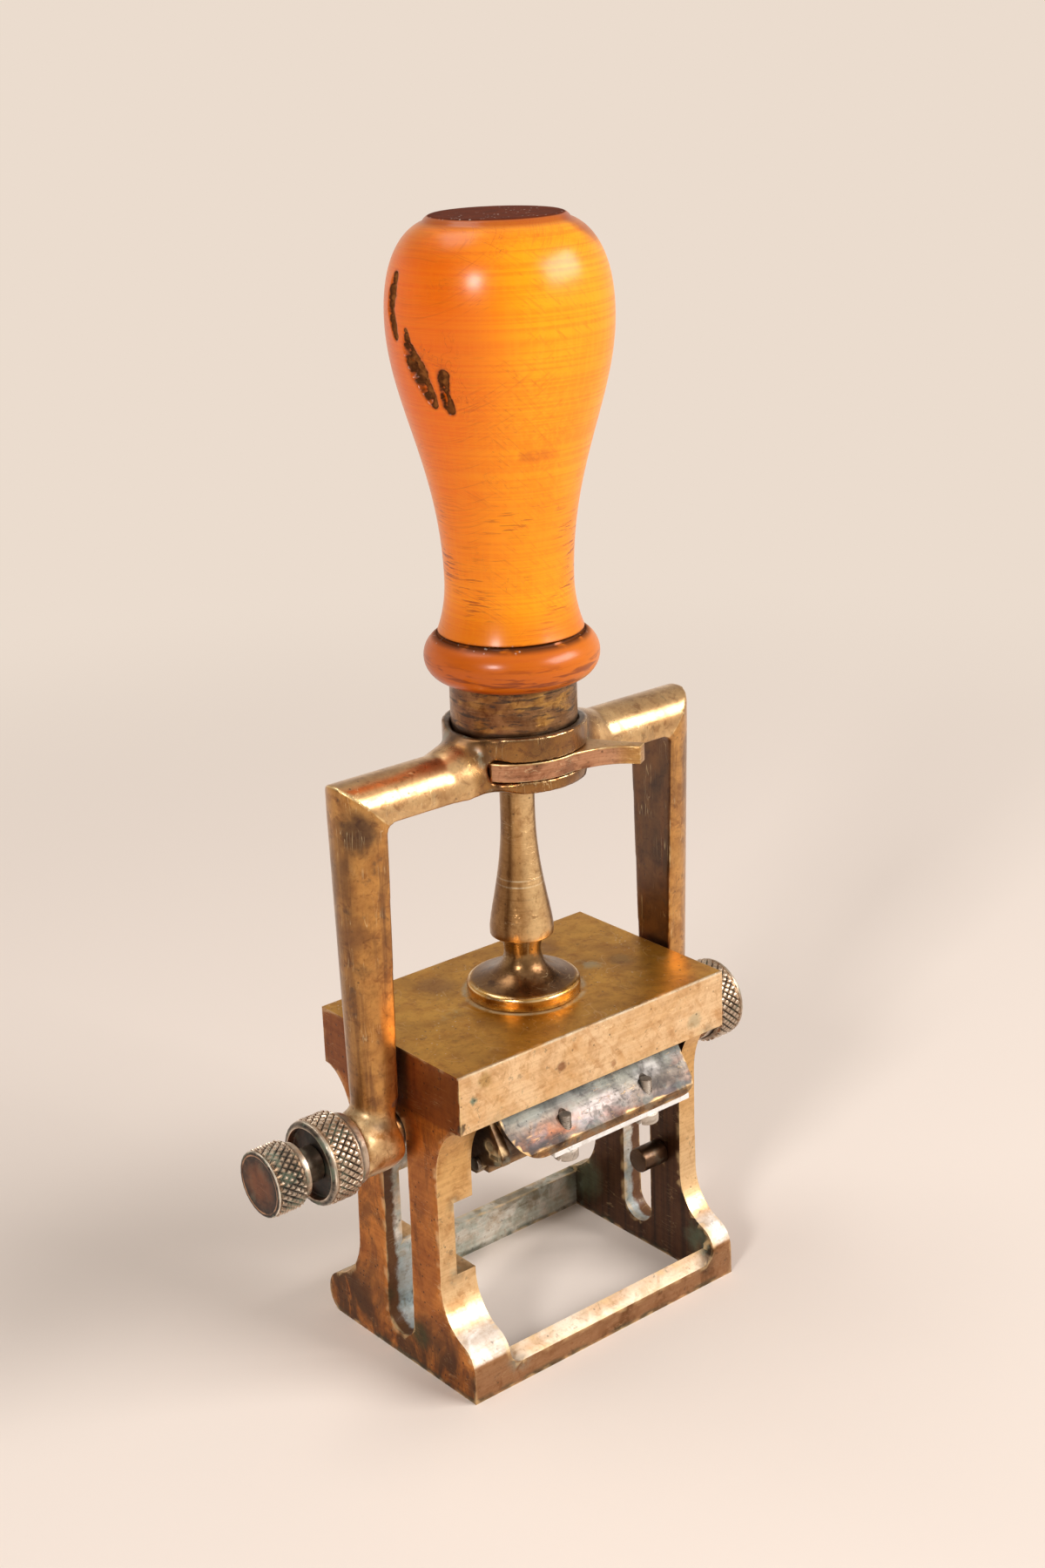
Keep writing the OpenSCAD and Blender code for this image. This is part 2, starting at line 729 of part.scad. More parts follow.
// A leg's section laid level, its flat side towards the frame
module leg_slice(z, hw, d, t = slice) {
    translate([leg_in, 0, z]) rotate([0, 0, -90]) linear_extrude(t) d_section(hw, d);
}

module yoke_side() {
    flare_x = hub_r + arm_flare;
    arm_slice(flare_x - 2 * slice, arm_hw, arm_d, leg_in - flare_x + 2 * slice + eps);
    hull() {
        arm_slice(flare_x - slice, arm_hw, arm_d);
        arm_slice(hub_r * 0.8, arm_hw + flare_over, hub_h - flare_under);
    }
    intersection() {
        arm_slice(leg_in - eps, arm_hw, arm_d, arm_d + 1);
        leg_slice(hub_z - eps, arm_hw, arm_d, arm_d + 1);
    }
    hull() {
        leg_slice(hub_z - slice, arm_hw, arm_d);
        leg_slice(pivot_z, leg_hw, leg_d);
    }
    difference() {
        translate([leg_in - inner_fillet, -arm_hw, hub_z - inner_fillet])
            cube([inner_fillet + slice, 2 * arm_hw, inner_fillet + slice]);
        translate([leg_in - inner_fillet, 0, hub_z - inner_fillet])
            rod_y(inner_fillet, -arm_hw - 1, arm_hw + 1);
    }
    at_pivot() rod_x(boss_r, leg_in, boss_out);
}

// Seen from above: the room that the lever needs for its turn, grown by a gap
module lever_room(gap) {
    far = 3 * hub_r;
    rear = -lever_rear + lever_reach * sin(lock_turn) + gap;
    intersection() {
        translate(lever_pos) circle(r = lever_reach + gap);
        translate([-far, rear - 2 * far]) square([2 * far, 2 * far]);
        rotate(lever_end) translate([-far, gap - 2 * far]) square([2 * far, 2 * far]);
    }
}

module yoke() {
    color([0.68, 0.50, 0.24])
    difference() {
        union() {
            translate([0, 0, hub_z]) cylinder(r = hub_r, h = hub_h);
            yoke_side();
            mirror([1, 0, 0]) yoke_side();
        }
        translate([0, 0, hub_z - 1]) cylinder(r = hub_bore_r, h = hub_h + 2);
        translate([0, 0, stop_z]) cylinder(r = counter_r, h = hub_h);
        translate([0, 0, lever_low]) linear_extrude(lever_slot_h) lever_room(free);
        translate([lever_x, -lever_y, hub_z - 1]) cylinder(r = lever_screw_r + seat, h = hub_floor + 2);
        translate([lever_x, -lever_y, hub_z - 1]) cylinder(r = lever_head_r + fit, h = lever_head_h + 1);
        at_pivot() {
            rod_x(sleeve_r + run, leg_in - 1, boss_out + 1);
            rod_x(sleeve_r + run, -boss_out - 1, -leg_in + 1);
        }
    }
}

module ferrule() {
    color([0.47, 0.34, 0.19])
    translate([0, 0, stop_z])
    difference() {
        cylinder(r = ferrule_r, h = bead_z - stop_z);
        translate([0, 0, -1]) cylinder(r = ferrule_r - ferrule_t, h = bead_z - stop_z + 2);
    }
}

// Turned wood: tenon, bead, groove, lip, waist, belly and flat top
module handle() {
    tenon_r = ferrule_r - ferrule_t - seat;
    tenon_z = stop_z + 1;
    waist_z = groove_z + waist_rise;
    belly_z = total_h - belly_drop;
    bead = arc([bead_r - bead_h / 2, bead_z + bead_h / 2], bead_h / 2, bead_h / 2, -90, 90, 16);
    root = curve([[lip_r, groove_z], [lip_r - 0.9, groove_z + 2.6], [waist_r, waist_z - 4],
        [waist_r, waist_z]], 8);
    body = curve([[waist_r, waist_z], [waist_r, waist_z + 20], [handle_r, belly_z - 18],
        [handle_r, belly_z]], 28);
    crown = curve([[handle_r, belly_z], [handle_r, belly_z + 6.5], [top_r + 4.2, total_h - 5.4],
        [top_r, total_h]], 16);
    color([0.82, 0.42, 0.10])
    rotate_extrude()
        polygon(concat([[handle_bore_r, tenon_z], [tenon_r, tenon_z], [tenon_r, bead_z]], bead,
            [[lip_r - 1.2, groove_z - 0.1], [lip_r - 1.2, groove_z], [lip_r, groove_z]],
            root, body, crown, [[0, total_h], [0, bore_top], [handle_bore_r, bore_top]]));
}

module lever_screw() {
    color([0.50, 0.42, 0.28])
    translate([lever_x, -lever_y, hub_z])
    difference() {
        union() {
            cylinder(r = lever_screw_r, h = hub_floor - fit);
            cylinder(r = lever_head_r, h = lever_head_h);
        }
        rotate([180, 0, 0]) driver_slot(lever_head_r, driver_w, lever_head_h / 2);
    }
}

// Crescent round the rod with a thumb tab curving out to the front right
module lock_lever() {
    far = 3 * hub_r;
    tip_r = hub_r + tab_out;
    tab = concat(curve([[2.9, -14], [8, -14.6], [tip_r * 0.52, -tip_r * 0.68],
        [tip_r * 0.63, -tip_r * 0.86]], 10),
        [[tip_r * 0.735, -tip_r * 0.80]],
        curve([[tip_r * 0.735, -tip_r * 0.80], [tip_r * 0.60, -tip_r * 0.62], [12.2, -11], [11, -8.6]], 8));
    color([0.50, 0.31, 0.22])
    translate([0, 0, lever_low + lever_gap])
    linear_extrude(lever_slot_h - 2 * lever_gap)
    difference() {
        union() {
            intersection() {
                circle(r = hub_r);
                translate([-far, -lever_rear - 2 * far]) square([2 * far, 2 * far]);
                lever_room(0);
                translate(lever_pos) rotate(lock_turn) translate(-lever_pos) lever_room(0);
            }
            polygon(concat([[2.9, -13], [2.9, -14]], tab, [[8, -8.6]]));
        }
        circle(r = hub_bore_r + 2 * fit);
        translate(lever_pos) circle(r = lever_screw_r + run);
    }
}

// Hollow screw: pin for the head, sleeve for the slot, shoulder and large knurled head
module left_pivot_screw() {
    bore = spindle_r + run;
    face = -knurl_x - knurl_l;
    step = in_l + end_play - free;
    color([0.42, 0.31, 0.23])
    at_pivot() turned_x([[bore, span_l - 2 * fit], [pin_r, span_l - 2 * fit], [pin_r, step],
        [sleeve_r, step], [sleeve_r, -boss_out - free], [shoulder_r, -boss_out - free],
        [shoulder_r, -knurl_x], [knurl_r - bevel, -knurl_x], [knurl_r, -knurl_x - bevel],
        [knurl_r, face + bevel], [knurl_r - bevel, face], [recess_r, face],
        [recess_r, face + recess_d], [bore, face + recess_d]]);
}

module right_pivot_screw() {
    bore = spindle_r + run;
    face = knurl_x + knurl_l;
    step = in_r - cam_play + free;
    color([0.42, 0.31, 0.23])
    at_pivot() turned_x([[bore, span_r + 2 * fit], [bore, spindle_end + 1], [0, spindle_end + 1],
        [0, face - recess_d], [recess_r, face - recess_d], [recess_r, face],
        [knurl_r - bevel, face], [knurl_r, face - bevel], [knurl_r, knurl_x + bevel],
        [knurl_r - bevel, knurl_x], [shoulder_r, knurl_x], [shoulder_r, boss_out + free],
        [sleeve_r, boss_out + free], [sleeve_r, step], [pin_r, step], [pin_r, span_r + 2 * fit]]);
}

module date_spindle() {
    color([0.48, 0.47, 0.45])
    at_pivot() rod_x(spindle_r, -knob_x - spindle_in, spindle_end);
}

module date_knob() {
    bore = spindle_r + seat;
    start = -knurl_x - knurl_l + recess_d - free;
    face = -knob_x - collar_l - knob_l;
    color([0.42, 0.31, 0.23])
    at_pivot() turned_x([[bore, start], [neck_knob_r, start], [neck_knob_r, -knob_x],
        [collar_r, -knob_x], [collar_r, -knob_x - collar_l], [knob_r, -knob_x - collar_l],
        [knob_r, face + bevel], [knob_r - bevel, face], [0, face], [0, -knob_x - spindle_in - fit],
        [bore, -knob_x - spindle_in - fit]]);
}

// Outline of an end plate in the head's own Y and Z
module plate_outline() {
    intersection() {
        translate([-head_hw, leaf_top]) square([2 * head_hw, text_low - leaf_top]);
        circle(r = head_hw + 2.4);
    }
}

module end_screw_places() {
    for (s = [-1, 1]) translate([0, s * (rail_in + rail_t / 2), -end_screw_low]) children();
}

// Left end plate, with an ear under the wing that has a hole and a short slot
module head_plate_left() {
    x0 = plate_l;
    under = wing_top - wing_t - free;
    color([0.40, 0.29, 0.18])
    at_pivot()
    difference() {
        union() {
            across_x(x0, span_l) plate_outline();
            across_x(x0, span_l) polygon([[-head_hw + eps, under], [-wing_bend + 2 * free, under],
                [-wing_front + ear_in, wing_tip + ear_gap], [-wing_front + ear_in, wing_foot + fit],
                [-head_hw + eps, wing_foot - ear_low]]);
            rod_x(plate_hub_r, in_l + end_play, x0 + eps);
        }
        rod_x(pin_r + run, in_l, span_l + 1);
        translate([0, -head_hw - ear_hole_in, -2 * ear_hole_r]) rod_x(ear_hole_r, x0 - 1, span_l + 1);
        translate([x0 - 1, -head_hw - ear_hole_in - ear_slot_l, -2 * ear_hole_r - ear_low])
            cube([plate_t + 2, ear_slot_l, ear_slot_h]);
        end_screw_places() rod_x(end_screw_r + seat, x0 - 1, span_l + 1);
    }
}

module head_plate_right() {
    color([0.40, 0.29, 0.18])
    at_pivot()
    difference() {
        across_x(plate_r, plate_r + plate_t) plate_outline();
        rod_x(pin_r + run, plate_r - 1, plate_r + plate_t + 1);
        end_screw_places() rod_x(end_screw_r + seat, plate_r - 1, plate_r + plate_t + 1);
    }
}

// Cam with a prong that meets the stud while the head turns over
module flip_cam() {
    low = -stud_y + stud_r + cam_play + free;
    color([0.45, 0.34, 0.20])
    at_pivot()
    difference() {
        union() {
            across_x(cam_x, cam_x + cam_t) intersection() {
                circle(r = cam_r);
                translate([-cam_r, low]) square([2 * cam_r, block_low - cam_under - pivot_z - low]);
            }
            translate([cam_x, -prong_in - prong_w, prong_short - cam_r]) cube([cam_t, prong_w, cam_r + low]);
            rod_x(plate_hub_r, cam_x - cam_gap, cam_x + cam_t);
        }
        rod_x(pin_r + run, cam_x - 2, cam_x + cam_t + 1);
    }
}

module rail(s) {
    at_pivot()
    difference() {
        translate([span_l, s > 0 ? rail_in : -head_hw, leaf_top])
            cube([span_r - span_l, rail_t, text_low - leaf_top]);
        end_screw_places() {
            rod_x(end_screw_r + seat, span_l - 1, span_l + end_screw_l + fit);
            rod_x(end_screw_r + seat, span_r - end_screw_l - fit, span_r + 1);
        }
        if (s > 0) rear_screw_places() rod_y(rear_screw_r + seat, 0, 2 * head_hw);
    }
}

module front_rail() {
    color([0.47, 0.34, 0.18]) rail(-1);
}

module rear_rail() {
    color([0.47, 0.34, 0.18]) rail(1);
}

module head_screws() {
    color([0.50, 0.45, 0.36])
    at_pivot() end_screw_places() {
        rod_x(end_screw_r, plate_l - eps, span_l + end_screw_l);
        rod_x(end_head_r, plate_l - end_head_h, plate_l);
        rod_x(end_screw_r, span_r - end_screw_l, plate_r + plate_t + eps);
        rod_x(end_head_r, plate_r + plate_t, cam_x - fit);
    }
}

// Bent plate: flat against the front rail, slope to the front, short lip
module front_wing() {
    color([0.45, 0.31, 0.26])
    at_pivot()
    difference() {
        across_x(wing_l, wing_r) polygon([[-head_hw, wing_top], [-wing_bend, wing_top],
            [-wing_front, wing_tip], [-wing_front, wing_foot], [-wing_front + wing_t, wing_foot],
            [-wing_front + wing_t, wing_tip - 0.3 * wing_t], [-wing_bend + 0.45 * wing_t, wing_top - wing_t],
            [-head_hw, wing_top - wing_t]]);
        corner_cut(wing_l, 1, wing_corner_l);
        corner_cut(wing_r, -1, wing_corner_r);
        clamp_places() translate([0, 0, -20]) cylinder(r = clamp_r + seat, h = 40);
    }
}

// Rounds a front corner of the wing, seen from the front
module corner_cut(x, s, r) {
    low = wing_foot - 0.01;
    across_y(-wing_front - 1, -head_hw - 1)
    difference() {
        translate([s > 0 ? x - 1 : x - r, low - 1]) square([r + 1, r + 1]);
        translate([x + s * r, low + r]) circle(r = r);
    }
}

module clamp_places() {
    for (i = [0, 1]) translate([strip_r - clamp_end - i * clamp_pitch, clamp_y, 0]) children();
}

module clamp_strip() {
    color([0.62, 0.62, 0.63])
    at_pivot()
    difference() {
        translate([strip_r - strip_l, -wing_front + 0.1, strip_low])
            cube([strip_l, wing_front - 0.1 - head_hw, strip_t]);
        clamp_places() translate([0, 0, -20]) cylinder(r = clamp_r + seat, h = 40);
    }
}

module clamp_screws() {
    wing_here = wing_tip + (wing_front + clamp_y) * wing_fall / wing_run;
    color([0.48, 0.42, 0.36])
    at_pivot() clamp_places()
    difference() {
        union() {
            translate([0, 0, strip_low]) cylinder(r = clamp_r, h = wing_here + clamp_out - strip_low);
            translate([0, 0, strip_low - clamp_head_h]) cylinder(r = clamp_head_r, h = clamp_head_h);
        }
        translate([0, 0, strip_low - clamp_head_h]) rotate([180, 0, 20])
            driver_slot(clamp_head_r, driver_w, clamp_head_h / 2);
    }
}

module rear_screw_places() {
    for (s = [-1, 1]) translate([span_mid + s * clamp_pitch / 2, 0, 0]) children();
}

module rear_clamp_bar() {
    color([0.47, 0.34, 0.18])
    at_pivot()
    difference() {
        translate([span_l + rear_bar_in, head_hw, -rear_clamp_h / 2])
            cube([span_r - span_l - 2 * rear_bar_in, rear_bar_t, rear_clamp_h]);
        rear_screw_places() rod_y(rear_screw_r + seat, 0, 2 * head_hw);
    }
}

module rear_clamp_screws() {
    face = head_hw + rear_bar_t;
    color([0.50, 0.45, 0.36])
    at_pivot() rear_screw_places()
    difference() {
        union() {
            rod_y(rear_screw_r, rail_in, face + eps);
            rod_y(rear_head_r, face, face + rear_head_h);
        }
        translate([0, face + rear_head_h, 0]) rotate([-90, 20, 0])
            driver_slot(rear_head_r, driver_w, rear_head_h / 2);
    }
}

module text_plate(s) {
    at_pivot()
    translate([span_l, s > 0 ? text_in : -head_hw, text_low])
        cube([span_r - span_l, head_hw - text_in, text_t]);
}

module front_text_plate() {
    color([0.40, 0.28, 0.24]) text_plate(-1);
}

module rear_text_plate() {
    color([0.40, 0.28, 0.24]) text_plate(1);
}

module wheel_spacers() {
    color([0.50, 0.40, 0.22])
    at_pivot()
    difference() {
        union() {
            rod_x(wheel_hub_r, span_l, wheel_x0 - fit);
            rod_x(wheel_hub_r, wheel_x0 + stack_l + fit, span_r);
        }
        rod_x(spindle_r + run, span_l - 1, span_r + 1);
    }
}

// Leaf under the rear rail, with one finger for each wheel
module detent_spring() {
    color([0.45, 0.45, 0.46])
    at_pivot()
    translate([0, 0, leaf_top - leaf_t]) {
        translate([wheel_x0, rail_in, 0]) cube([stack_l, rail_t, leaf_t]);
        for (i = [0:wheel_n - 1])
            translate([wheel_x0 + wheel_pitch * (i + 0.5) - finger_w / 2, -finger_over, 0])
                cube([finger_w, rail_in + finger_over + eps, leaf_t]);
    }
}

// One date wheel: a ring of flats round a hub, one flat standing up
module date_wheel(i) {
    mid = wheel_x0 + wheel_pitch * (i + 0.5);
    hub_w = wheel_pitch - 2 * fit;
    color([0.36, 0.27, 0.20])
    at_pivot()
    difference() {
        union() {
            translate([mid - wheel_w / 2, 0, 0]) rotate([0, 90, 0]) rotate(180 / wheel_faces)
                cylinder(r = wheel_r, h = wheel_w, $fn = wheel_faces);
            rod_x(wheel_hub_r, mid - hub_w / 2, mid + hub_w / 2);
        }
        rod_x(spindle_r + run, mid - wheel_pitch, mid + wheel_pitch);
    }
}

module wheel_day_tens() { date_wheel(0); }
module wheel_day_units() { date_wheel(1); }
module wheel_month() { date_wheel(2); }
module wheel_year_tens() { date_wheel(3); }
module wheel_year_units() { date_wheel(4); }

frame();
post_flange();
column();
column_retainer();
return_spring();
pad_tray();
ink_pad();
tray_screws();
flip_stud();
yoke();
ferrule();
handle();
spring_seat();
lever_screw();
lock_lever();
left_pivot_screw();
right_pivot_screw();
date_spindle();
date_knob();
head_plate_left();
head_plate_right();
flip_cam();
front_rail();
rear_rail();
head_screws();
front_wing();
clamp_strip();
clamp_screws();
rear_clamp_bar();
rear_clamp_screws();
front_text_plate();
rear_text_plate();
wheel_spacers();
detent_spring();
wheel_day_tens();
wheel_day_units();
wheel_month();
wheel_year_tens();
wheel_year_units();
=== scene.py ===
import json
import math
from types import SimpleNamespace

import bmesh
import bpy
from mathutils import Matrix, Vector
from mathutils.kdtree import KDTree
from mathutils.noise import noise as softNoise

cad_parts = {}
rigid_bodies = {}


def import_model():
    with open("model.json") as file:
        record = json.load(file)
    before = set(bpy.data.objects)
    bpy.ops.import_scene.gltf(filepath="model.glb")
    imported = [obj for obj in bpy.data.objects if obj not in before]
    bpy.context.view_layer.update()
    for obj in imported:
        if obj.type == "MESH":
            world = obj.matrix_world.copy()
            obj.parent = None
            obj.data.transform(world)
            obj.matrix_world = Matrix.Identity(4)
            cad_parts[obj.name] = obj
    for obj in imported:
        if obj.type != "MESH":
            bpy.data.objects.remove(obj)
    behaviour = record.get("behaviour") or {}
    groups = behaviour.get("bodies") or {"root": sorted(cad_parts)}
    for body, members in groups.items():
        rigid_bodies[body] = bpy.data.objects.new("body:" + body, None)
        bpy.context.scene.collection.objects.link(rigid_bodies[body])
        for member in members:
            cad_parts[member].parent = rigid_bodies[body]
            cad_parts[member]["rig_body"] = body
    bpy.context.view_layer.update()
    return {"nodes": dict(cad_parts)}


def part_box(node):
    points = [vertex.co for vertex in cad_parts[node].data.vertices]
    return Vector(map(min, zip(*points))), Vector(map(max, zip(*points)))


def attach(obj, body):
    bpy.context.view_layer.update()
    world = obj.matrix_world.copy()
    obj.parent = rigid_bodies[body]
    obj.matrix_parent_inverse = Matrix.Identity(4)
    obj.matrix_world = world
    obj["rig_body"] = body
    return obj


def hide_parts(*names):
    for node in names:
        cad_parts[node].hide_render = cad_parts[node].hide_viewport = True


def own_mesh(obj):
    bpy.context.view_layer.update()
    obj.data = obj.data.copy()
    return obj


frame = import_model()
bpy.ops.object.select_all(action="DESELECT")
scene = bpy.context.scene
mm = 0.001
pivotZ = 51.8  # height of the line that the head turns on, in millimetres


def tint(code):
    # a colour such as "d08a3c" in Blender's linear values
    parts = [int(code[i:i + 2], 16) / 255 for i in (0, 2, 4)]
    return tuple(c / 12.92 if c <= 0.04045 else ((c + 0.055) / 1.055) ** 2.4 for c in parts) + (1,)


class Wire:
    # a socket in a node tree; arithmetic on it adds Math nodes
    def __init__(self, tree, socket=None):
        self.tree = tree
        self.socket = socket

    def add(self, kind, settings=None, values=None, out=0):
        node = self.tree.nodes.new(kind)
        for key, value in (settings or {}).items():
            setattr(node, key, value)
        for key, value in (values or {}).items():
            if isinstance(value, Wire):
                self.tree.links.new(value.socket, node.inputs[key])
            else:
                node.inputs[key].default_value = value
        return Wire(self.tree, node.outputs[out]) if node.outputs else node

    def maths(self, operation, *others):
        return self.add("ShaderNodeMath", {"operation": operation}, dict(enumerate((self, *others))))

    def __add__(self, other):
        return self.maths("ADD", other)

    def __sub__(self, other):
        return self.maths("SUBTRACT", other)

    def __rsub__(self, other):
        return self.add("ShaderNodeMath", {"operation": "SUBTRACT"}, {0: other, 1: self})

    def __mul__(self, other):
        return self.maths("MULTIPLY", other)

    __radd__, __rmul__ = __add__, __mul__

    def __abs__(self):
        return self.maths("ABSOLUTE")

    def most(self, other):
        return self.maths("MAXIMUM", other)

    def least(self, other):
        return self.maths("MINIMUM", other)

    def step(self, low, high):
        # 0 at low and 1 at high, smooth between
        return self.add("ShaderNodeMapRange", {"interpolation_type": "SMOOTHSTEP"},
                        {"Value": self, "From Min": low, "From Max": high})

    def near(self, place, reach):
        # 1 where this value is at place, 0 further away than reach
        return abs(self - place).step(reach, 0)


def blend(amount, first, second, kind="MIX"):
    # first at 0 and second at 1; each is a socket or a code such as "d08a3c"
    tools = next(w for w in (amount, first, second) if isinstance(w, Wire))
    first, second = (tint(c) if isinstance(c, str) else c for c in (first, second))
    return tools.add("ShaderNodeMix", {"data_type": "RGBA", "blend_type": kind},
                     {0: amount, 6: first, 7: second}, 2)


def layered(colour, *layers):
    # each (amount, paint) goes over what lies under it
    for amount, paint in layers:
        colour = blend(amount, colour, paint)
    return colour


class Surface:
    # a new material; places and noises are in metres of the piece's own space
    def __init__(self, name):
        self.material = bpy.data.materials.new(name)
        self.material.use_nodes = True
        self.material.node_tree.nodes.clear()
        self.tools = Wire(self.material.node_tree)
        self.place = self.tools.add("ShaderNodeTexCoord", out="Object")
        self.normal = self.tools.add("ShaderNodeTexCoord", out="Normal")
        self.x, self.y, self.z = (
            self.tools.add("ShaderNodeSeparateXYZ", None, {0: self.place}, i) for i in range(3))

    def facing(self, axis, way=1, low=0.55, high=0.85):
        # 1 where the surface looks along the axis, 0 where it looks elsewhere
        part = self.tools.add("ShaderNodeSeparateXYZ", None, {0: self.normal}, "XYZ".index(axis))
        return (part * way).step(low, high)

    def moved(self, scales, shift):
        scales = scales if isinstance(scales, tuple) else (scales,) * 3
        return self.tools.add("ShaderNodeVectorMath", {"operation": "MULTIPLY_ADD"},
                              {0: self.place, 1: scales, 2: shift})

    def noise(self, scales, detail=3, roughness=0.55, distortion=0.0, shift=(0, 0, 0)):
        # scales is one number or one for each axis; a feature is about 1 / scale metres
        return self.tools.add("ShaderNodeTexNoise", None,
                              {"Vector": self.moved(scales, shift), "Scale": 1, "Detail": detail,
                               "Roughness": roughness, "Distortion": distortion})

    def spots(self, scale, size, shift=(0, 0, 0)):
        # round spots on a loose grid, 1 inside
        return self.tools.add("ShaderNodeTexVoronoi", None,
                              {"Vector": self.moved(scale, shift), "Scale": 1},
                              "Distance").step(size, size * 0.5)

    def attribute(self, name):
        return self.tools.add("ShaderNodeAttribute", {"attribute_name": name}, None, "Fac")

    def leaning(self, across, along, shift=0.0):
        # streaks on a slant: fast along one direction, slow along the other
        parts = [self.tools.add("ShaderNodeVectorMath", {"operation": "DOT_PRODUCT"},
                                {0: self.place, 1: way}, "Value") for way in (across, along)]
        where = self.tools.add("ShaderNodeCombineXYZ", None, {0: parts[0], 1: parts[1], 2: shift})
        return self.tools.add("ShaderNodeTexNoise", None,
                              {"Vector": where, "Scale": 1, "Detail": 2, "Roughness": 0.5})

    def distance(self, centre, scales):
        # from a point in millimetres, in a space that is stretched by the scales
        shift = tuple(-c * mm * k for c, k in zip(centre, scales))
        return self.tools.add("ShaderNodeVectorMath", {"operation": "LENGTH"},
                              {0: self.moved(scales, shift)}, "Value")

    def blobs(self, places):
        # distance to the nearest of some (x, y, z, half width) in millimetres: below 1 inside one
        nearest = None
        for *centre, wide in places:
            away = self.distance(centre, (1 / (wide * mm),) * 3)
            nearest = away if nearest is None else nearest.least(away)
        return nearest

    def ball(self, centre, reach, flat=(1, 1, 1), ragged=0.0):
        # 1 at a point in millimetres, 0 further away than reach
        away = self.distance(centre, tuple(1 / f for f in flat))
        if ragged:
            away = away + (self.noise(500, 3, 0.6) - 0.5) * ragged * mm
        return away.step(reach * mm, reach * mm * 0.4)

    def radius(self, height=None):
        # distance from the column's line, or from a line along X at a height
        a, b = (self.x, self.y) if height is None else (self.y, self.z - height)
        return (a * a + b * b).maths("SQRT")

    def done(self, colour, roughness, metallic, height=None, depth=0.0001, constants=None):
        values = {"Base Color": colour, "Roughness": roughness, "Metallic": metallic}
        values.update(constants or {})
        if height is not None:
            values["Normal"] = self.tools.add(
                "ShaderNodeBump", None, {"Strength": 1.0, "Distance": depth, "Height": height})
        shader = self.tools.add("ShaderNodeBsdfPrincipled", None, values)
        self.tools.add("ShaderNodeOutputMaterial", None, {"Surface": shader})
        return self.material


def oldMetal(name, look, regions=None):
    # brass, bronze or steel: mottled, brushed and scratched, dark or green in its hollows
    s = Surface(name)
    edge, hollow = s.attribute("edge"), s.attribute("hollow")
    broad = s.noise(look["broad"], 3, 0.6)
    cloud = s.noise(look["cloud"], 4, 0.62, 0.4, (3, 1, 7))
    blot = s.noise(look["blot"], 3, 0.6, 0.8, (6, 8, 1))
    fine = s.noise(look["fine"], 3, 0.6, 0, (5, 2, 1))
    brush = s.noise(look["brush"], 2, 0.6, 0.2, (2, 2, 6))
    streak = s.noise(look["streak"], 4, 0.65, 0.3, (1, 5, 2))
    scratch = s.noise(look["scratch"], 2, 0.5, 0.6, (7, 0, 3)).near(0.5, 0.012)
    scratch = scratch * s.noise(170, 1, 0.5, 0, (8, 3, 0)).step(0.5, 0.62)
    pits = s.spots(look["pitScale"], look["pitSize"]) * s.noise(140, 1, 0.5, 0, (2, 9, 4)).step(0.48, 0.6)

    colour = blend(broad.step(0.36, 0.64), look["light"], look["mid"])
    dull, clean = 0.0, 0.0
    if regions:
        colour, dull, clean = regions(s, colour)
    stain = cloud.step(0.42, 0.7) * look["stain"]
    for amount in (stain, blot.step(0.56, 0.68) * look["blots"], brush.step(0.35, 0.7) * look["brushed"],
                   fine.step(0.5, 0.75) * 0.3):
        colour = blend(amount, colour, look["shade"], "MULTIPLY")
    line = streak.step(*look["lineStep"]) * look["line"]
    dirt = hollow.step(0.3, 1.0) * (0.3 + cloud) * look["dirt"]
    bloom = hollow.step(0.15, 0.8) * s.noise(300, 3, 0.6, 0, (4, 4, 9)).step(0.5, 0.62) * look["green"]
    bloom = bloom * (1 - clean)
    worn = edge.step(0.2, 0.75) * s.noise(220, 3, 0.6, 0, (9, 9, 2)).step(0.36, 0.6) * look["wear"]
    colour = layered(
        colour, (line, look["black"]), (pits * look["pits"], look["black"]), (dirt, look["black"]),
        (bloom, look["bloom"]), (worn, look["bright"]), (scratch * look["scratches"], look["bright"]))

    roughness = (look["rough"] + 0.14 * (broad - 0.5) + 0.16 * stain + 0.22 * line + 0.08 * brush
                 + 0.35 * bloom + 0.25 * dirt - 0.1 * worn - 0.04) + 0.3 * dull
    metallic = 1.0 - 0.75 * bloom - 0.3 * line - 0.35 * dirt - 0.7 * dull
    height = (0.2 * fine + 0.35 * cloud + 0.25 * brush - 0.8 * pits - 0.4 * scratch + 0.2 * bloom
              - 0.3 * line)
    return s.done(colour, roughness, metallic, height, look["depth"],
                  {"Coat Weight": look["coat"], "Coat Roughness": look["gloss"]})


# the record's finishes, each with the colours of this stamp's own pieces
castLook = {"light": "ecc692", "mid": "deb37a", "shade": "c6a87e", "black": "3a281b", "bright": "f2d09a",
            "bloom": "96a08e", "broad": 38, "cloud": 240, "blot": 420, "fine": 1500,
            "brush": (60, 60, 1500), "streak": 420, "scratch": (150, 110, 900),
            "lineStep": (0.62, 0.7), "line": 0.4, "stain": 0.45, "blots": 0.4, "brushed": 0.25,
            "pitScale": 480, "pitSize": 0.15, "pits": 0.6, "dirt": 0.7, "green": 0.4, "wear": 0.6,
            "scratches": 0.25, "rough": 0.4, "depth": 0.00004, "coat": 0.3, "gloss": 0.3}
yokeLook = dict(castLook, light="e4b066", mid="d29b50", shade="b08a52", black="3f2c1a", bright="ffe9b4",
                brush=420, scratch=(700, 700, 60), cloud=260, blots=0.5, streak=(330, 330, 300),
                lineStep=(0.6, 0.7), rough=0.38, scratches=0.35, coat=0.75)
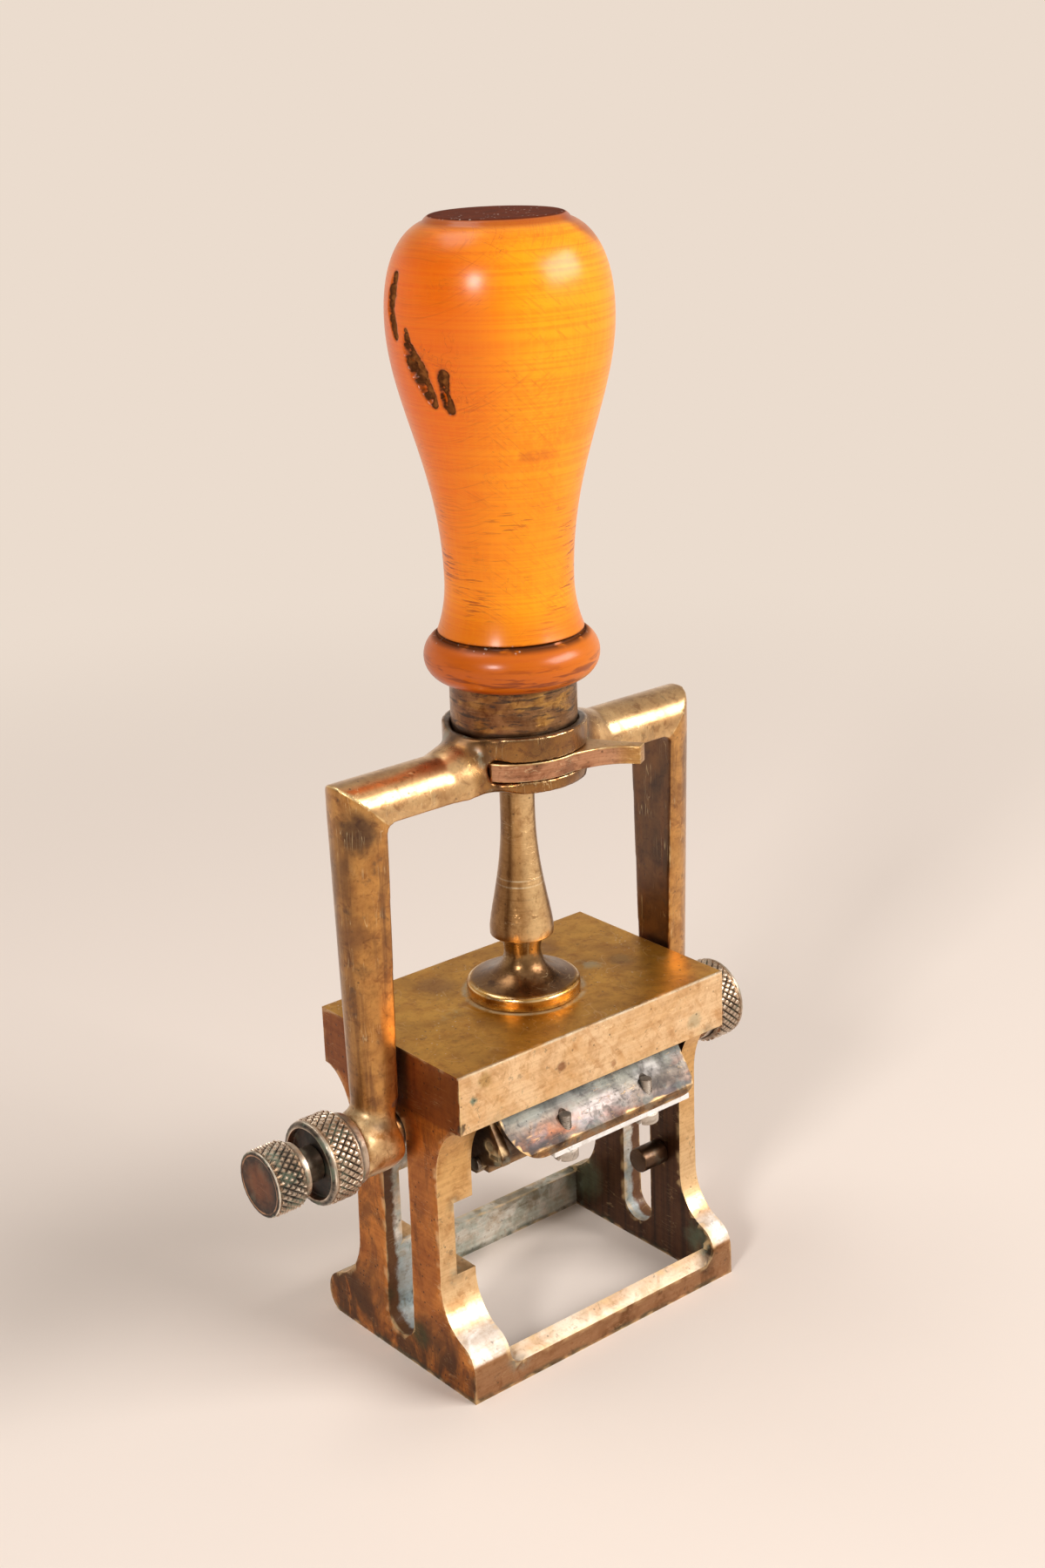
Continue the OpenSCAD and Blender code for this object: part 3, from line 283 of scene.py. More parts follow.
ferruleLook = dict(castLook, light="b58a56", mid="96704a", shade="a58660", black="30241b",
                   streak=(210, 210, 1100), lineStep=(0.53, 0.63), line=0.75, brush=(60, 60, 2600),
                   brushed=0.3, stain=0.7, blots=0.6, scratch=(50, 50, 2400), rough=0.32)
columnLook = dict(castLook, light="d9b079", mid="bf935c", shade="a5824f", black="3b2b1e", bright="ffe6b8",
                  brush=(40, 40, 2600), brushed=0.1, streak=(500, 500, 120), lineStep=(0.66, 0.74),
                  rough=0.32, gloss=0.26)
flangeLook = dict(columnLook, light="906c42", mid="745232", shade="a08058", bright="ffe9bc", rough=0.28,
                  brushed=0.2)
sheetLook = dict(castLook, light="80603e", mid="64492f", shade="8e7456", black="1f1812", rough=0.42)
leverLook = dict(castLook, light="deac86", mid="c4906c", shade="b08a68", black="33231a", bright="fff0c0",
                 brush=(60, 60, 2400), blots=0.5, brushed=0.3, wear=0.8, rough=0.34)
knobLook = dict(castLook, light="e2d0bc", mid="c6b29c", shade="aa9a88", black="1f1a16", bright="f8ead6",
                bloom="6f7a66", green=0.7, dirt=1.15, wear=0.85, brush=300, cloud=420, rough=0.29)
recessLook = dict(knobLook, light="8a5028", mid="6c3a18", shade="946c42", bright="c99a76", green=0.2,
                  brush=(2600, 60, 60), rough=0.32)
wingLook = dict(castLook, light="75655a", mid="5e5148", shade="7a7066", black="25211f", bright="e8bc7c",
                bloom="6f7a72", brush=(60, 900, 900), cloud=170, stain=0.8, blots=0.7, brushed=0.4, line=0.5,
                rough=0.42, streak=(300, 700, 700), pitScale=900, pitSize=0.18)
steelLook = dict(castLook, light="eeebe6", mid="dcd8d0", shade="ccc6be", black="4a4643", bright="ffffff",
                 brush=(40, 1800, 1800), green=0.1, scratch=(60, 1400, 1400), scratches=0.4, rough=0.26)
screwLook = dict(castLook, light="a89a8a", mid="85776a", shade="9c9082", black="2b221c", bright="f0e2cc",
                 rough=0.3)
darkLook = dict(castLook, light="6f5238", mid="543c28", shade="8c7258", black="201812", bright="bf9868",
                rough=0.36, coat=0.4)
typeLook = dict(steelLook, light="8d8a86", mid="73706c", shade="8c8884", black="1f1c22", bright="c9c6c2",
                stain=0.9, line=0.8, lineStep=(0.55, 0.66), rough=0.42)


def frameTarnishAndPaintedLight(s, colour):
    # painted light and shade by where each face looks: a darker olive reflection on top, lit pale tan in
    # front, shaded deep brown on the outer sides and near black on the inner faces; dusty green in the
    # slots, pale grey green behind
    high = s.z.step(0.0582, 0.0592)
    up, front = s.facing("Z"), s.facing("Y", -1)
    left, right = s.facing("X", -1), s.facing("X")
    smoke = s.noise(75, 4, 0.62, 0.6, (2, 2, 2)).step(0.38, 0.64)
    rust = s.noise(150, 4, 0.6, 0.4, (1, 6, 3)).step(0.56, 0.7)
    # the block's top painted olive as a darker reflection; its front and the posts below painted pale tan as
    # light
    top = blend(smoke, "dca63a", "be8a26")
    top = blend(s.noise(120, 3, 0.6, 0.5, (8, 1, 1)).step(0.58, 0.72) * 0.3, top, "985f22")
    face = blend(smoke, "fdddb0", "f0c892")
    grain = s.leaning((700, 0, 500), (60, 0, -90), 2).step(0.55, 0.7)
    face = layered(face, (grain * 0.35, "d8a468"), (rust * 0.35, "d79a52"))
    post = blend(s.z.step(0.02, 0.052), "f0cf9e", "e6b976")
    post = blend(rust * 0.45, post, "c08442")
    # sides: painted shade in golden brown, with dark runs, darker and greener towards the ground
    runs = s.noise((650, 650, 16), 4, 0.6, 0.2, (4, 4, 4))
    mottle = s.noise((130, 130, 70), 5, 0.65, 0.8, (5, 5, 5))
    side = blend(smoke, "da8c3a", "ba7028")
    low = s.z.step(0.020, 0.004) + s.y.step(0.012, 0.022) * s.z.step(0.03, 0.016)
    outer = s.x.step(-0.0335, -0.0345) * left + s.x.step(0.0335, 0.0345) * right
    side = layered(
        side, (mottle.step(0.5, 0.66) * 0.65, "74400f"), (mottle.step(0.42, 0.32) * 0.6, "e09a4a"),
        (runs.step(0.52, 0.66) * s.z.step(0.03, 0.05) * 0.7, "4a200a"),
        (s.z.step(0.0575, 0.0590) * 0.75, "7c3c12"),
        ((low * mottle.step(0.34, 0.56)).least(1.0) * 0.85, "4e3010"),
        (s.spots(520, 0.16, (4, 2, 2)) * 0.8, "24140a"))
    # the inner faces painted near black as the shade between the cheeks
    inner = blend(runs.step(0.4, 0.7), "5e3c24", "3b2416")
    inside = (s.x.step(0.0275, 0.0295) * left + s.x.step(-0.0255, -0.0262) * right
              * s.x.step(-0.0335, -0.031))
    # slot walls, rear bar and front bar
    walls = abs(s.y).step(0.0054, 0.0046) * (front + s.facing("Y") + up) * (1 - high)
    green = s.noise(160, 3, 0.6, 0.3, (5, 1, 8))
    verdigris = blend(green.step(0.4, 0.62), "f2ebe0", "c4ccc6")
    mouth = abs(s.x) + (s.noise(420, 3, 0.6) - 0.5) * 0.003
    verdigris = layered(
        verdigris, (s.z.step(0.026, 0.016) * 0.6, "7d95a0"), (green.step(0.6, 0.68) * 0.8, "46382a"),
        (mouth.step(0.0322, 0.0334), "6b4422"))
    rear = s.y.step(0.0195, 0.0205) * s.z.step(0.0092, 0.0086) * (up + front)
    pale = blend(green.step(0.45, 0.6), "c6cec4", "e8e6dc")
    pale = layered(
        pale, (s.noise(110, 3, 0.6, 0.8, (8, 8, 2)).step(0.55, 0.66), "e9e6dc"),
        (s.noise(90, 4, 0.6, 0.6, (1, 8, 2)).step(0.55, 0.66) * 0.7, "7c745c"))
    corner = s.ball((30, 19, 9), 9, (0.5, 1, 1), 4) + s.ball((-26, 19, 9), 7, (0.5, 1, 1), 4)
    corner = corner + s.ball((30, -19, 8), 5, (0.5, 1, 1), 4) * inside
    # the front bar: its top painted pale as light, its front painted darker as shade
    bar = s.y.step(-0.0195, -0.0205) * s.z.step(0.0088, 0.0078)
    litBarTop = bar * s.facing("Z", 1, 0.5, 0.7)
    # flare of the foot: a painted pale highlight with brown towards its nose, and a painted dark contact
    # shadow along the ground
    flareHighlight = s.y.step(-0.0165, -0.019) * s.z.step(0.0175, 0.0145) * s.z.step(0.0045, 0.007) * (1 - bar)
    flareHighlight = flareHighlight * (front + s.facing("Z", 1, 0.2, 0.5)).least(1.0) * (1 - outer)
    nose = s.y.step(-0.0175, -0.021) * s.z.step(0.0085, 0.0055) * (1 - bar) * (1 - outer)
    ground = s.z.step(0.0016, 0.0004) * s.noise(180, 3, 0.6, 0, (7, 7, 7)).step(0.35, 0.6)
    # bright lines along the block's front edges: worn brass with a painted highlight
    rub = s.noise(260, 2, 0.6, 0, (1, 1, 6)).step(0.3, 0.5)
    rubbedAndLitEdge = s.y.step(-0.02165, -0.02195) * s.z.step(0.07065, 0.07095) * rub
    upright = s.y.step(-0.02175, -0.02205) * s.x.step(-0.0345, -0.0348) * high * rub
    # grey dust round the flange and fine dust on top
    ring = s.radius().near(0.0122, 0.0011) * up * high
    ring = ring * s.noise(260, 3, 0.6, 0, (3, 3, 3)).step(0.3, 0.55)
    dust = s.spots(850, 0.2, (3, 3, 3)) * s.noise(110, 2, 0.5, 0, (1, 2, 9)).step(0.5, 0.64) * up * high
    dull = walls + rear * 0.9 + ring * 0.7 + corner * 0.7 + flareHighlight * 0.75 + litBarTop * 0.5
    # each face's painted light or shade goes on first, then slots, bars, marks and dust
    colour = layered(
        colour, (up * high, top), (front * high, face), (front * (1 - high), post), (outer, side),
        (inside, inner), (walls, verdigris), (rear * 0.95, pale), (corner * 0.7, "5f6e56"),
        (litBarTop * 0.9, blend(smoke, "fff0dc", "ecccaa")),
        (bar * front * 0.95, blend(rust, "a87c56", "80542e")),
        (flareHighlight * 0.95, blend(mottle.step(0.4, 0.6), "fffcf8", "e6dace")),
        (nose * 0.75, blend(mottle.step(0.4, 0.6), "b5824c", "83552a")), (ground * 0.8, "3f4a38"),
        *((s.ball(centre, reach, ragged=2.2) * amount, mark)
          for centre, reach, mark, amount in (
            ((-9.3, -22.2, 64.9), 1.5, "8a4f24", 0.75), ((4.4, -22.2, 60.7), 1.0, "9a5a28", 0.6),
            ((-31.5, -22.2, 65.3), 1.25, "6f9488", 0.85), ((-28.5, -22.2, 68.8), 2.2, "b8963c", 0.5),
            ((27, -22.2, 62.6), 2.4, "b9b394", 0.6), ((-12, 14, 71.2), 5.5, "8a5a2c", 0.5),
            ((16, 13, 71.2), 4.5, "875426", 0.5), ((24, -3, 71.2), 3.5, "7d6a44", 0.4),
            ((-34.9, -22.2, 60.2), 1.3, "2d2018", 0.8), ((-35.7, -6, 8), 4.0, "35502c", 0.6),
            ((-35.5, 3, 12), 3.0, "2f3a1c", 0.5))),
        (rubbedAndLitEdge * 0.95, "fff6e0"), (upright * 0.7, "f8dca4"), (ring * 0.75, "b9b29a"),
        (dust * 0.6, "efe6cf"))
    return colour, dull.least(1.0), outer


def yokeTarnishAndPaintedLight(s, colour):
    # golden cast with a dark hub top, smoky corners and bright creases; the arms painted lighter as a
    # highlight, the legs' inner and outer faces painted darker as shade, the bosses painted bright as a
    # highlight
    smoke = s.noise(90, 4, 0.62, 0.6, (2, 2, 2)).step(0.4, 0.66)
    mottle = s.noise(170, 5, 0.66, 0.9, (5, 1, 5))
    out = s.radius()
    hub = out.step(0.0185, 0.0155) * s.z.step(0.117, 0.119)
    away = abs(s.x)
    # where the arms are painted lighter as a highlight
    litArm = (s.z - away).step(0.0820, 0.0824) * s.z.step(0.1165, 0.1185) * (1 - hub)
    dark = s.z.step(0.1290, 0.1294) * out.step(0.01395, 0.01375)
    # each leg: inner face painted dark as shade, smoky top under the mitre, worn front
    inner = s.x.step(0.03, 0.034) * s.facing("X", -1) + s.x.step(-0.03, -0.034) * s.facing("X")
    inner = inner * s.z.step(0.0585, 0.062) * away.step(0.0380, 0.0372)
    leg = away.step(0.034, 0.0362) * s.z.step(0.1175, 0.116)
    # the legs' outer faces painted darker as shade
    outward = s.x.step(-0.0425, -0.0440) * s.facing("X", -1, 0.3, 0.8)
    outward = outward + s.x.step(0.0425, 0.044) * s.facing("X")
    # boss at the leg's foot, painted bright as a highlight
    boss = s.radius(pivotZ * mm).step(0.0092, 0.0072) * away.step(0.0365, 0.0375)
    crease = ((away - 0.0363) - (s.z - 0.1185)).near(0, 0.0004) * away.step(0.0365, 0.0375)
    crease = crease * s.noise(220, 2, 0.6).step(0.36, 0.5)
    colour = layered(
        colour, (mottle.step(0.48, 0.64) * 0.55, "8f6431"), (mottle.step(0.42, 0.3) * 0.4, "eac27c"),
        # painted highlight on the arms, painted shade on the rest
        (litArm * 0.5, "e4c99c"), ((1 - litArm) * (1 - hub) * 0.3, "b87a30"),
        (hub * 0.8, blend(smoke, "8a5a1c", "56340f")), (dark, "2b2620"), (smoke * 0.3, "a0702f"),
        (inner * 0.95, blend(smoke, "6b4522", "4a2f19")),
        (leg * s.noise((420, 420, 34), 4, 0.6, 0.6, (6, 1, 1)).step(0.5, 0.66) * 0.7, "7d4f24"),
        (outward * leg * 0.6, blend(smoke, "9a6c34", "6f4a22")),
        *((s.ball(centre, reach, ragged=3.5) * amount, mark)
          for centre, reach, mark, amount in (
            ((-43.5, -6.0, 118.0), 6.5, "4c3019", 0.85), ((-44.5, -3.5, 97), 4.5, "80522a", 0.6),
            ((-43.8, -4.6, 90), 2.6, "50321c", 0.7), ((-36.9, -4.6, 60.6), 1.4, "6a7280", 0.75),
            ((-43.9, -3.6, 60), 2.0, "55512f", 0.6), ((42.5, -3.5, 113.5), 5.5, "7a5530", 0.5),
            ((-41, -7, 75), 3.0, "6f451f", 0.5), ((-37.5, -8, 83), 2.2, "5e3a1c", 0.5))),
        (boss * 0.7, blend(mottle.step(0.5, 0.66), "f8dca8", "c08c48")), (crease * 0.8, "ffe3a4"))
    return colour, dark * 1.1 - hub * 0.5 - litArm * 0.3, 1 - hub


def leverTarnish(s, colour):
    # copper brown with dark smudges, golden at the tab's end and along its upper edge
    smudge = s.noise((160, 160, 300), 4, 0.62, 0.5, (2, 6, 1))
    tab = s.x.step(0.0110, 0.0140)
    colour = layered(
        colour, (smudge.step(0.5, 0.64) * 0.55, "744a30"), (tab * 0.75, "d0a25a"),
        (s.x.step(0.0235, 0.0242) * 0.9, "f4d68e"), (s.z.step(0.1244, 0.1247) * 0.6, "f2d08c"))
    return colour, 0.0, 1.0


def wingTarnish(s, colour):
    # grey green at the top, rust and violet below, a pale rub near the lip
    band = s.z.step(0.0500, 0.0560)
    patch = s.noise((60, 130, 130), 4, 0.62, 0.6, (3, 9, 4))
    violet = s.noise((90, 200, 200), 3, 0.6, 0.6, (8, 3, 3)).step(0.52, 0.64)
    rub = s.ball((2, -21, 51), 5, (2.2, 1, 0.6), 4) + s.ball((17, -19, 54), 3.5, (1.5, 1, 0.8), 4)
    lip = s.z.step(0.0487, 0.0480)
    colour = layered(
        colour, (patch.step(0.5, 0.62) * 0.85, "7c4422"),
        (s.x.step(-0.004, -0.016) * patch.step(0.36, 0.5) * 0.6, "8e5226"), (violet * 0.75, "4c4348"),
        (band * 0.9, blend(patch.step(0.4, 0.62), "7c8074", "5c6664")), (rub * 0.4, "a9a2a2"),
        (lip * 0.6, "c08f58"))
    return colour, band * 0.25, 0.0


columnRing = {"bright": (95.4, 96.7), "half": 0.26}


def columnRingsAndPaintedLight(s, colour):
    # turned rings above the shoulder and a smoky top, with painted shade on its sides and a painted
    # highlight in front
    rings = s.noise((30, 30, 2600), 2, 0.6, 0, (2, 4, 4)).step(0.5, 0.62) * s.z.near(0.0925, 0.004)
    dusk = s.noise((200, 200, 90), 4, 0.62, 0.8, (6, 6, 1)).step(0.48, 0.64)
    # painted shade on its two sides and a painted highlight on its front
    sides = s.facing("X", -1, 0.72, 0.98) + s.facing("X", 1, 0.3, 0.9)
    colour = layered(
        colour, (rings * 0.5, "8a6238"),
        *((s.z.near(height * mm, columnRing["half"] * mm) * 0.75, "fff0cc")
          for height in columnRing["bright"]),
        (dusk * 0.5, "8d6434"), (sides * 0.7, "7a5228"), (s.facing("Y", -1, 0.75, 1.0) * 0.6, "f6d6a0"),
        (s.z.step(0.110, 0.119) * 0.5, "93704a"))
    return colour, 0.0, 1.0


def flangeTarnish(s, colour):
    # violet brown dish with a golden rim
    out = s.radius()
    rim = out.step(0.0102, 0.0112) * s.z.step(0.0708, 0.0712)
    dish = out.near(0.0075, 0.003) * s.noise(230, 3, 0.6, 0.4, (3, 7, 7)).step(0.45, 0.62)
    colour = layered(
        colour, (rim * 0.9, blend(s.noise(150, 3).step(0.4, 0.62), "deaa4c", "b27e30")),
        (dish * 0.85, "4a3020"), (s.z.step(0.0765, 0.080) * 0.5, "a08454"))
    return colour, 0.0, 1.0


def ferruleTarnish(s, colour):
    # golden on the lower right, red brown on the left, dark where it leaves the hub
    gold = s.noise((110, 110, 260), 4, 0.62, 0.5, (9, 2, 2)).step(0.5, 0.62)
    colour = layered(
        colour, (gold * 0.8, "d6a454"),
        (s.noise((130, 130, 200), 4, 0.6, 0.5, (1, 7, 2)).step(0.5, 0.6) * 0.6, "6e4a2c"),
        (s.x.step(-0.002, -0.011) * 0.5, "8e5634"), (s.z.step(0.1308, 0.1300) * 0.7, "2e231a"))
    return colour, 0.0, 1.0


def activate(piece):
    bpy.ops.object.select_all(action="DESELECT")
    piece.select_set(True)
    bpy.context.view_layer.objects.active = piece


def edit(piece, kind="FACE"):
    activate(piece)
    bpy.ops.object.mode_set(mode="EDIT")
    bpy.ops.mesh.select_mode(type=kind)


def leave():
    bpy.ops.object.mode_set(mode="OBJECT")


def pickAll():
    bpy.ops.mesh.select_all(action="SELECT")


def faceOutwards():
    pickAll()
    bpy.ops.mesh.normals_make_consistent(inside=False)


def placed(name):
    # the primitive just added, named and with its place in its mesh
    piece = bpy.context.object
    piece.name = piece.data.name = name
    bpy.ops.object.transform_apply(location=True, rotation=True, scale=True)
    return piece


def modified(piece, kind, **settings):
    activate(piece)
    tool = piece.modifiers.new("tool", kind)
    for key, value in settings.items():
        setattr(tool, key, value)
    bpy.ops.object.modifier_apply(modifier=tool.name)


def pick(piece, kind, test):
    # selects the faces, edges or vertices of the piece in edit mode that pass a test
    shape = bmesh.from_edit_mesh(piece.data)
    bpy.ops.mesh.select_all(action="DESELECT")
    bpy.ops.mesh.select_mode(type=kind)
    for part in {"FACE": shape.faces, "EDGE": shape.edges, "VERT": shape.verts}[kind]:
        if test(part):
            part.select_set(True)
    shape.select_flush_mode()
    bmesh.update_edit_mesh(piece.data)


def spreadPoints(points):
    # a tree that finds the nearest point; with none, one that lies far away
    tree = KDTree(max(1, len(points)))
    for i, point in enumerate(points or [Vector((9, 9, 9))]):
        tree.insert(point, i)
    tree.balance()
    return tree


def weather(piece, ridges, corners, reach=4.0, rim=0.5):
    # how near each point is to an outer edge or to an inner corner, for the wear in its finish
    for name, points, far in (("edge", ridges, rim), ("hollow", corners, reach)):
        tree = spreadPoints(points)
        layer = piece.data.attributes.new(name, "FLOAT", "POINT")
        layer.data.foreach_set("value", [
            max(0.0, 1 - tree.find(v.co)[2] / (far * mm)) for v in piece.data.vertices])


sharpAngle, bevelAngle = math.radians(28), math.radians(30)


def sharpLines(piece):
    # points every half millimetre along the piece's sharp edges: outer ones and inner ones
    ridges, corners = [], []
    shape = bmesh.new()
    shape.from_mesh(piece.data)
    for line in shape.edges:
        if len(line.link_faces) != 2:
            continue
        angle = line.calc_face_angle_signed(0)
        if abs(angle) < sharpAngle:
            continue
        a, b = (v.co.copy() for v in line.verts)
        steps = max(1, int((b - a).length / (0.5 * mm)))
        (ridges if angle > 0 else corners).extend(a.lerp(b, i / steps) for i in range(steps + 1))
    shape.free()
    return ridges, corners


def sliced(piece, cell):
    # cuts the piece on a loose grid, so that wear can fade across its large faces
    spots = [v.co for v in piece.data.vertices]
    low, high = (Vector([end(spot[k] for spot in spots) for k in range(3)]) for end in (min, max))
    edit(piece)
    for k in range(3):
        count = int((high[k] - low[k]) / (cell * mm))
        for i in range(count):
            spot = low.copy()
            spot[k] = low[k] + (high[k] - low[k]) * (i + 0.5) / count
            pickAll()
            bpy.ops.mesh.bisect(plane_co=spot, plane_no=Vector([float(k == j) for j in range(3)]))
    leave()


def finished(piece, body, finish, nodes, smooth=40):
    # shading, finish, and what the frame needs to know
    activate(piece)
    bpy.ops.object.shade_smooth_by_angle(angle=math.radians(smooth))
    for material in (finish if isinstance(finish, list) else [finish]):
        piece.data.materials.append(material)
    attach(piece, body)
    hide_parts(*nodes)
    bpy.ops.object.select_all(action="DESELECT")


def merged(node, name):
    # a copy of a frame node in one skin
    source = frame["nodes"][node]
    piece = bpy.data.objects.new(name, source.data.copy())
    scene.collection.objects.link(piece)
    piece.data.materials.clear()
    edit(piece)
    pickAll()
    bpy.ops.mesh.remove_doubles(threshold=0.000015)
    bpy.ops.mesh.dissolve_limited(angle_limit=math.radians(1))
    leave()
    return piece, source["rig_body"]


def pieceName(node):
    # head_plate_left becomes headPlateLeft
    first, *others = node.split("_")
    return first + "".join(word.capitalize() for word in others)


def dressed(node, finish, bevel, cell=0, name=None, segments=3, quiet=()):
    # a merged copy with softened edges and wear; quiet holds (x, y) of upright holes that keep none
    piece, body = merged(node, name or pieceName(node))
    ridges, corners = sharpLines(piece)
    ridges = [r for r in ridges if all(math.dist(r[:2], Vector(hole) * mm) > 1.9 * mm for hole in quiet)]
    modified(piece, "BEVEL", width=bevel * mm, segments=segments, limit_method="ANGLE",
             angle_limit=bevelAngle)
    if cell:
        sliced(piece, cell)
    weather(piece, ridges, corners, rim=max(0.2, bevel) * 1.1)
    finished(piece, body, finish, [node])


def softened(outline):
    # an outline of (along, radius, corner) points with its corners rounded
    made, steps = [], 4
    for i, point in enumerate(outline):
        here = Vector(point[:2])
        corner = point[2] if len(point) > 2 else 0
        if not corner or i in (0, len(outline) - 1):
            made.append(tuple(here))
            continue
        back, on = (Vector(outline[j][:2]) - here for j in (i - 1, i + 1))
        a = here + back.normalized() * min(corner, back.length * 0.5)
        b = here + on.normalized() * min(corner, on.length * 0.5)
        for k in range(steps + 1):
            t = k / steps
            made.append(tuple(a * (1 - t) ** 2 + here * 2 * t * (1 - t) + b * t * t))
    return made


def turned(name, outline, sides, centre=(0, 0)):
    # a lathe shape: the outline is drawn point by point and spun round an upright line
    def spot(along, radius):
        return Vector((centre[0] + radius, centre[1], along)) * mm

    rounded = softened(outline)
    bpy.ops.mesh.primitive_plane_add(size=mm, location=spot(*rounded[0]))
    piece = placed(name)
    edit(piece, "VERT")
    pickAll()
    bpy.ops.mesh.merge(type="CENTER")
    for before, after in zip(rounded, rounded[1:]):
        bpy.ops.mesh.extrude_region_move(TRANSFORM_OT_translate={"value": spot(*after) - spot(*before)})
    pickAll()
    bpy.ops.mesh.spin(steps=sides, angle=2 * math.pi, center=spot(0, 0), axis=(0, 0, 1))
    pickAll()
    bpy.ops.mesh.remove_doubles(threshold=0.000002)
    faceOutwards()
    leave()
    # each sharp bend of the outline is a ring of points for the wear
    ridges, corners = [], []
    area = sum(a[0] * b[1] - b[0] * a[1] for a, b in zip(outline, outline[1:] + outline[:1]))
    way = math.copysign(1, area)
    for back, point, on in zip(outline, outline[1:], outline[2:]):
        here = Vector(point[:2])
        bend = math.degrees((here - Vector(back[:2])).angle_signed(Vector(on[:2]) - here)) * way
        if abs(bend) > 25:
            (corners if bend > 0 else ridges).extend(
                Matrix.Rotation(2 * math.pi * k / 90, 3, "Z") @ (spot(*here) - spot(0, 0)) + spot(0, 0)
                for k in range(90))
    return piece, ridges, corners


print("finishes")
frameMetal = oldMetal("castBrass", castLook, frameTarnishAndPaintedLight)
yokeMetal = oldMetal("yokeBrass", yokeLook, yokeTarnishAndPaintedLight)
ferruleMetal = oldMetal("turnedBronze", ferruleLook, ferruleTarnish)
columnMetal = oldMetal("columnBrass", columnLook, columnRingsAndPaintedLight)
flangeMetal = oldMetal("flangeBrass", flangeLook, flangeTarnish)
sheetMetal = oldMetal("sheetBrass", sheetLook)
leverMetal = oldMetal("leverCopper", leverLook, leverTarnish)
knobMetal = oldMetal("knobBronze", knobLook)
recessMetal = oldMetal("knobRecess", recessLook)
wingMetal = oldMetal("wingBronze", wingLook, wingTarnish)
steelMetal = oldMetal("brightSteel", steelLook)
# the clamp strip's steel painted near white as its bright reflection
litStripMetal = oldMetal("stripSteelPaintedBright", dict(steelLook, light="ffffff", mid="fbf9f6"),
                      lambda s, colour: (colour, 0.6, 1.0))
screwMetal = oldMetal("screwBrass", screwLook)
tipMetal = oldMetal("screwSteel", dict(screwLook, light="d6ccc0", mid="aa9e92"),
                    lambda s, colour: (colour, 0.25, 1.0))
darkMetal = oldMetal("darkBrass", darkLook)
typeMetal = oldMetal("inkedType", typeLook)

print("frame")
dressed("frame", frameMetal, 0.32, 2.2, name="castFrame", segments=4)
dressed("flip_stud", darkMetal, 0.25)
dressed("pad_tray", darkMetal, 0.25, 4)
dressed("tray_screws", screwMetal, 0.2)
dressed("column_retainer", columnMetal, 0.25)
dressed("spring_seat", steelMetal, 0.1)

print("yoke")
yoke = {"skin": 0.42, "fillets": ((5.2, 3), (4.2, 10), (3.0, 40), (4.6, 8)), "hubLine": 14.2,
        "bossSwell": 0.1, "bossIn": 36.3, "bossOut": 46.2, "axle": 4.5, "boss": 8.5}


def castYoke():
    # one cast skin: joints between hub, arms, legs and bosses flow into each other
    piece, body = merged("yoke", "yokeBody")
    ridges, corners = sharpLines(piece)
    pivot = pivotZ * mm
    bossIn, bossOut, axle, boss = (yoke[key] * mm for key in ("bossIn", "bossOut", "axle", "boss"))

    def join(c):
        hub = Vector((c.x, c.y)).length <= yoke["hubLine"] * mm
        leverSlot = abs(c.x) < 0.020 and 0.1195 < c.z < 0.1258 and c.y < -0.007
        mitre = abs(c.x) > 0.028 and c.z > 0.1
        axleHole = abs(c.x) > 0.036 and Vector((c.y, c.z - pivot)).length < axle
        return not (hub or leverSlot or mitre or axleHole)

    joins = [c for c in corners if join(c)]
    modified(piece, "REMESH", mode="VOXEL", voxel_size=yoke["skin"] * mm)
    tree = spreadPoints(joins)
    away = [tree.find(v.co)[2] for v in piece.data.vertices]
    for vertex in piece.data.vertices:
        # the boss at each leg's foot is a little fuller than its axle, less so at its ends and top
        side, across = abs(vertex.co.x), Vector((vertex.co.y, vertex.co.z - pivot))
        if side > bossIn and axle < across.length < boss:
            along = min(1, (side - bossIn) / 0.0035) * min(1, max(0, bossOut - side) / 0.0014)
            full = math.sin(along * math.pi / 2) * min(1, max(0, (0.0600 - vertex.co.z) / 0.002))
            across *= 1 + yoke["bossSwell"] * full
            vertex.co.y, vertex.co.z = across.x, across.y + pivot
    edit(piece, "VERT")
    for reach, turns in yoke["fillets"]:
        pick(piece, "VERT", lambda v: away[v.index] < reach * mm)
        bpy.ops.mesh.vertices_smooth(factor=0.5, repeat=turns)
    pickAll()
    bpy.ops.mesh.vertices_smooth(factor=0.5, repeat=2)
    leave()
    ridges = [r for r in ridges if not (abs(r.x) > 0.034 and 0.100 < r.z < 0.1192)]
    weather(piece, ridges, [j for j in joins if j.z > 0.1186 or j.z < 0.1], 3.2, 0.55)
    finished(piece, body, yokeMetal, ["yoke"], 60)


castYoke()
dressed("lock_lever", leverMetal, 0.3, 1.6)
dressed("lever_screw", screwMetal, 0.15)

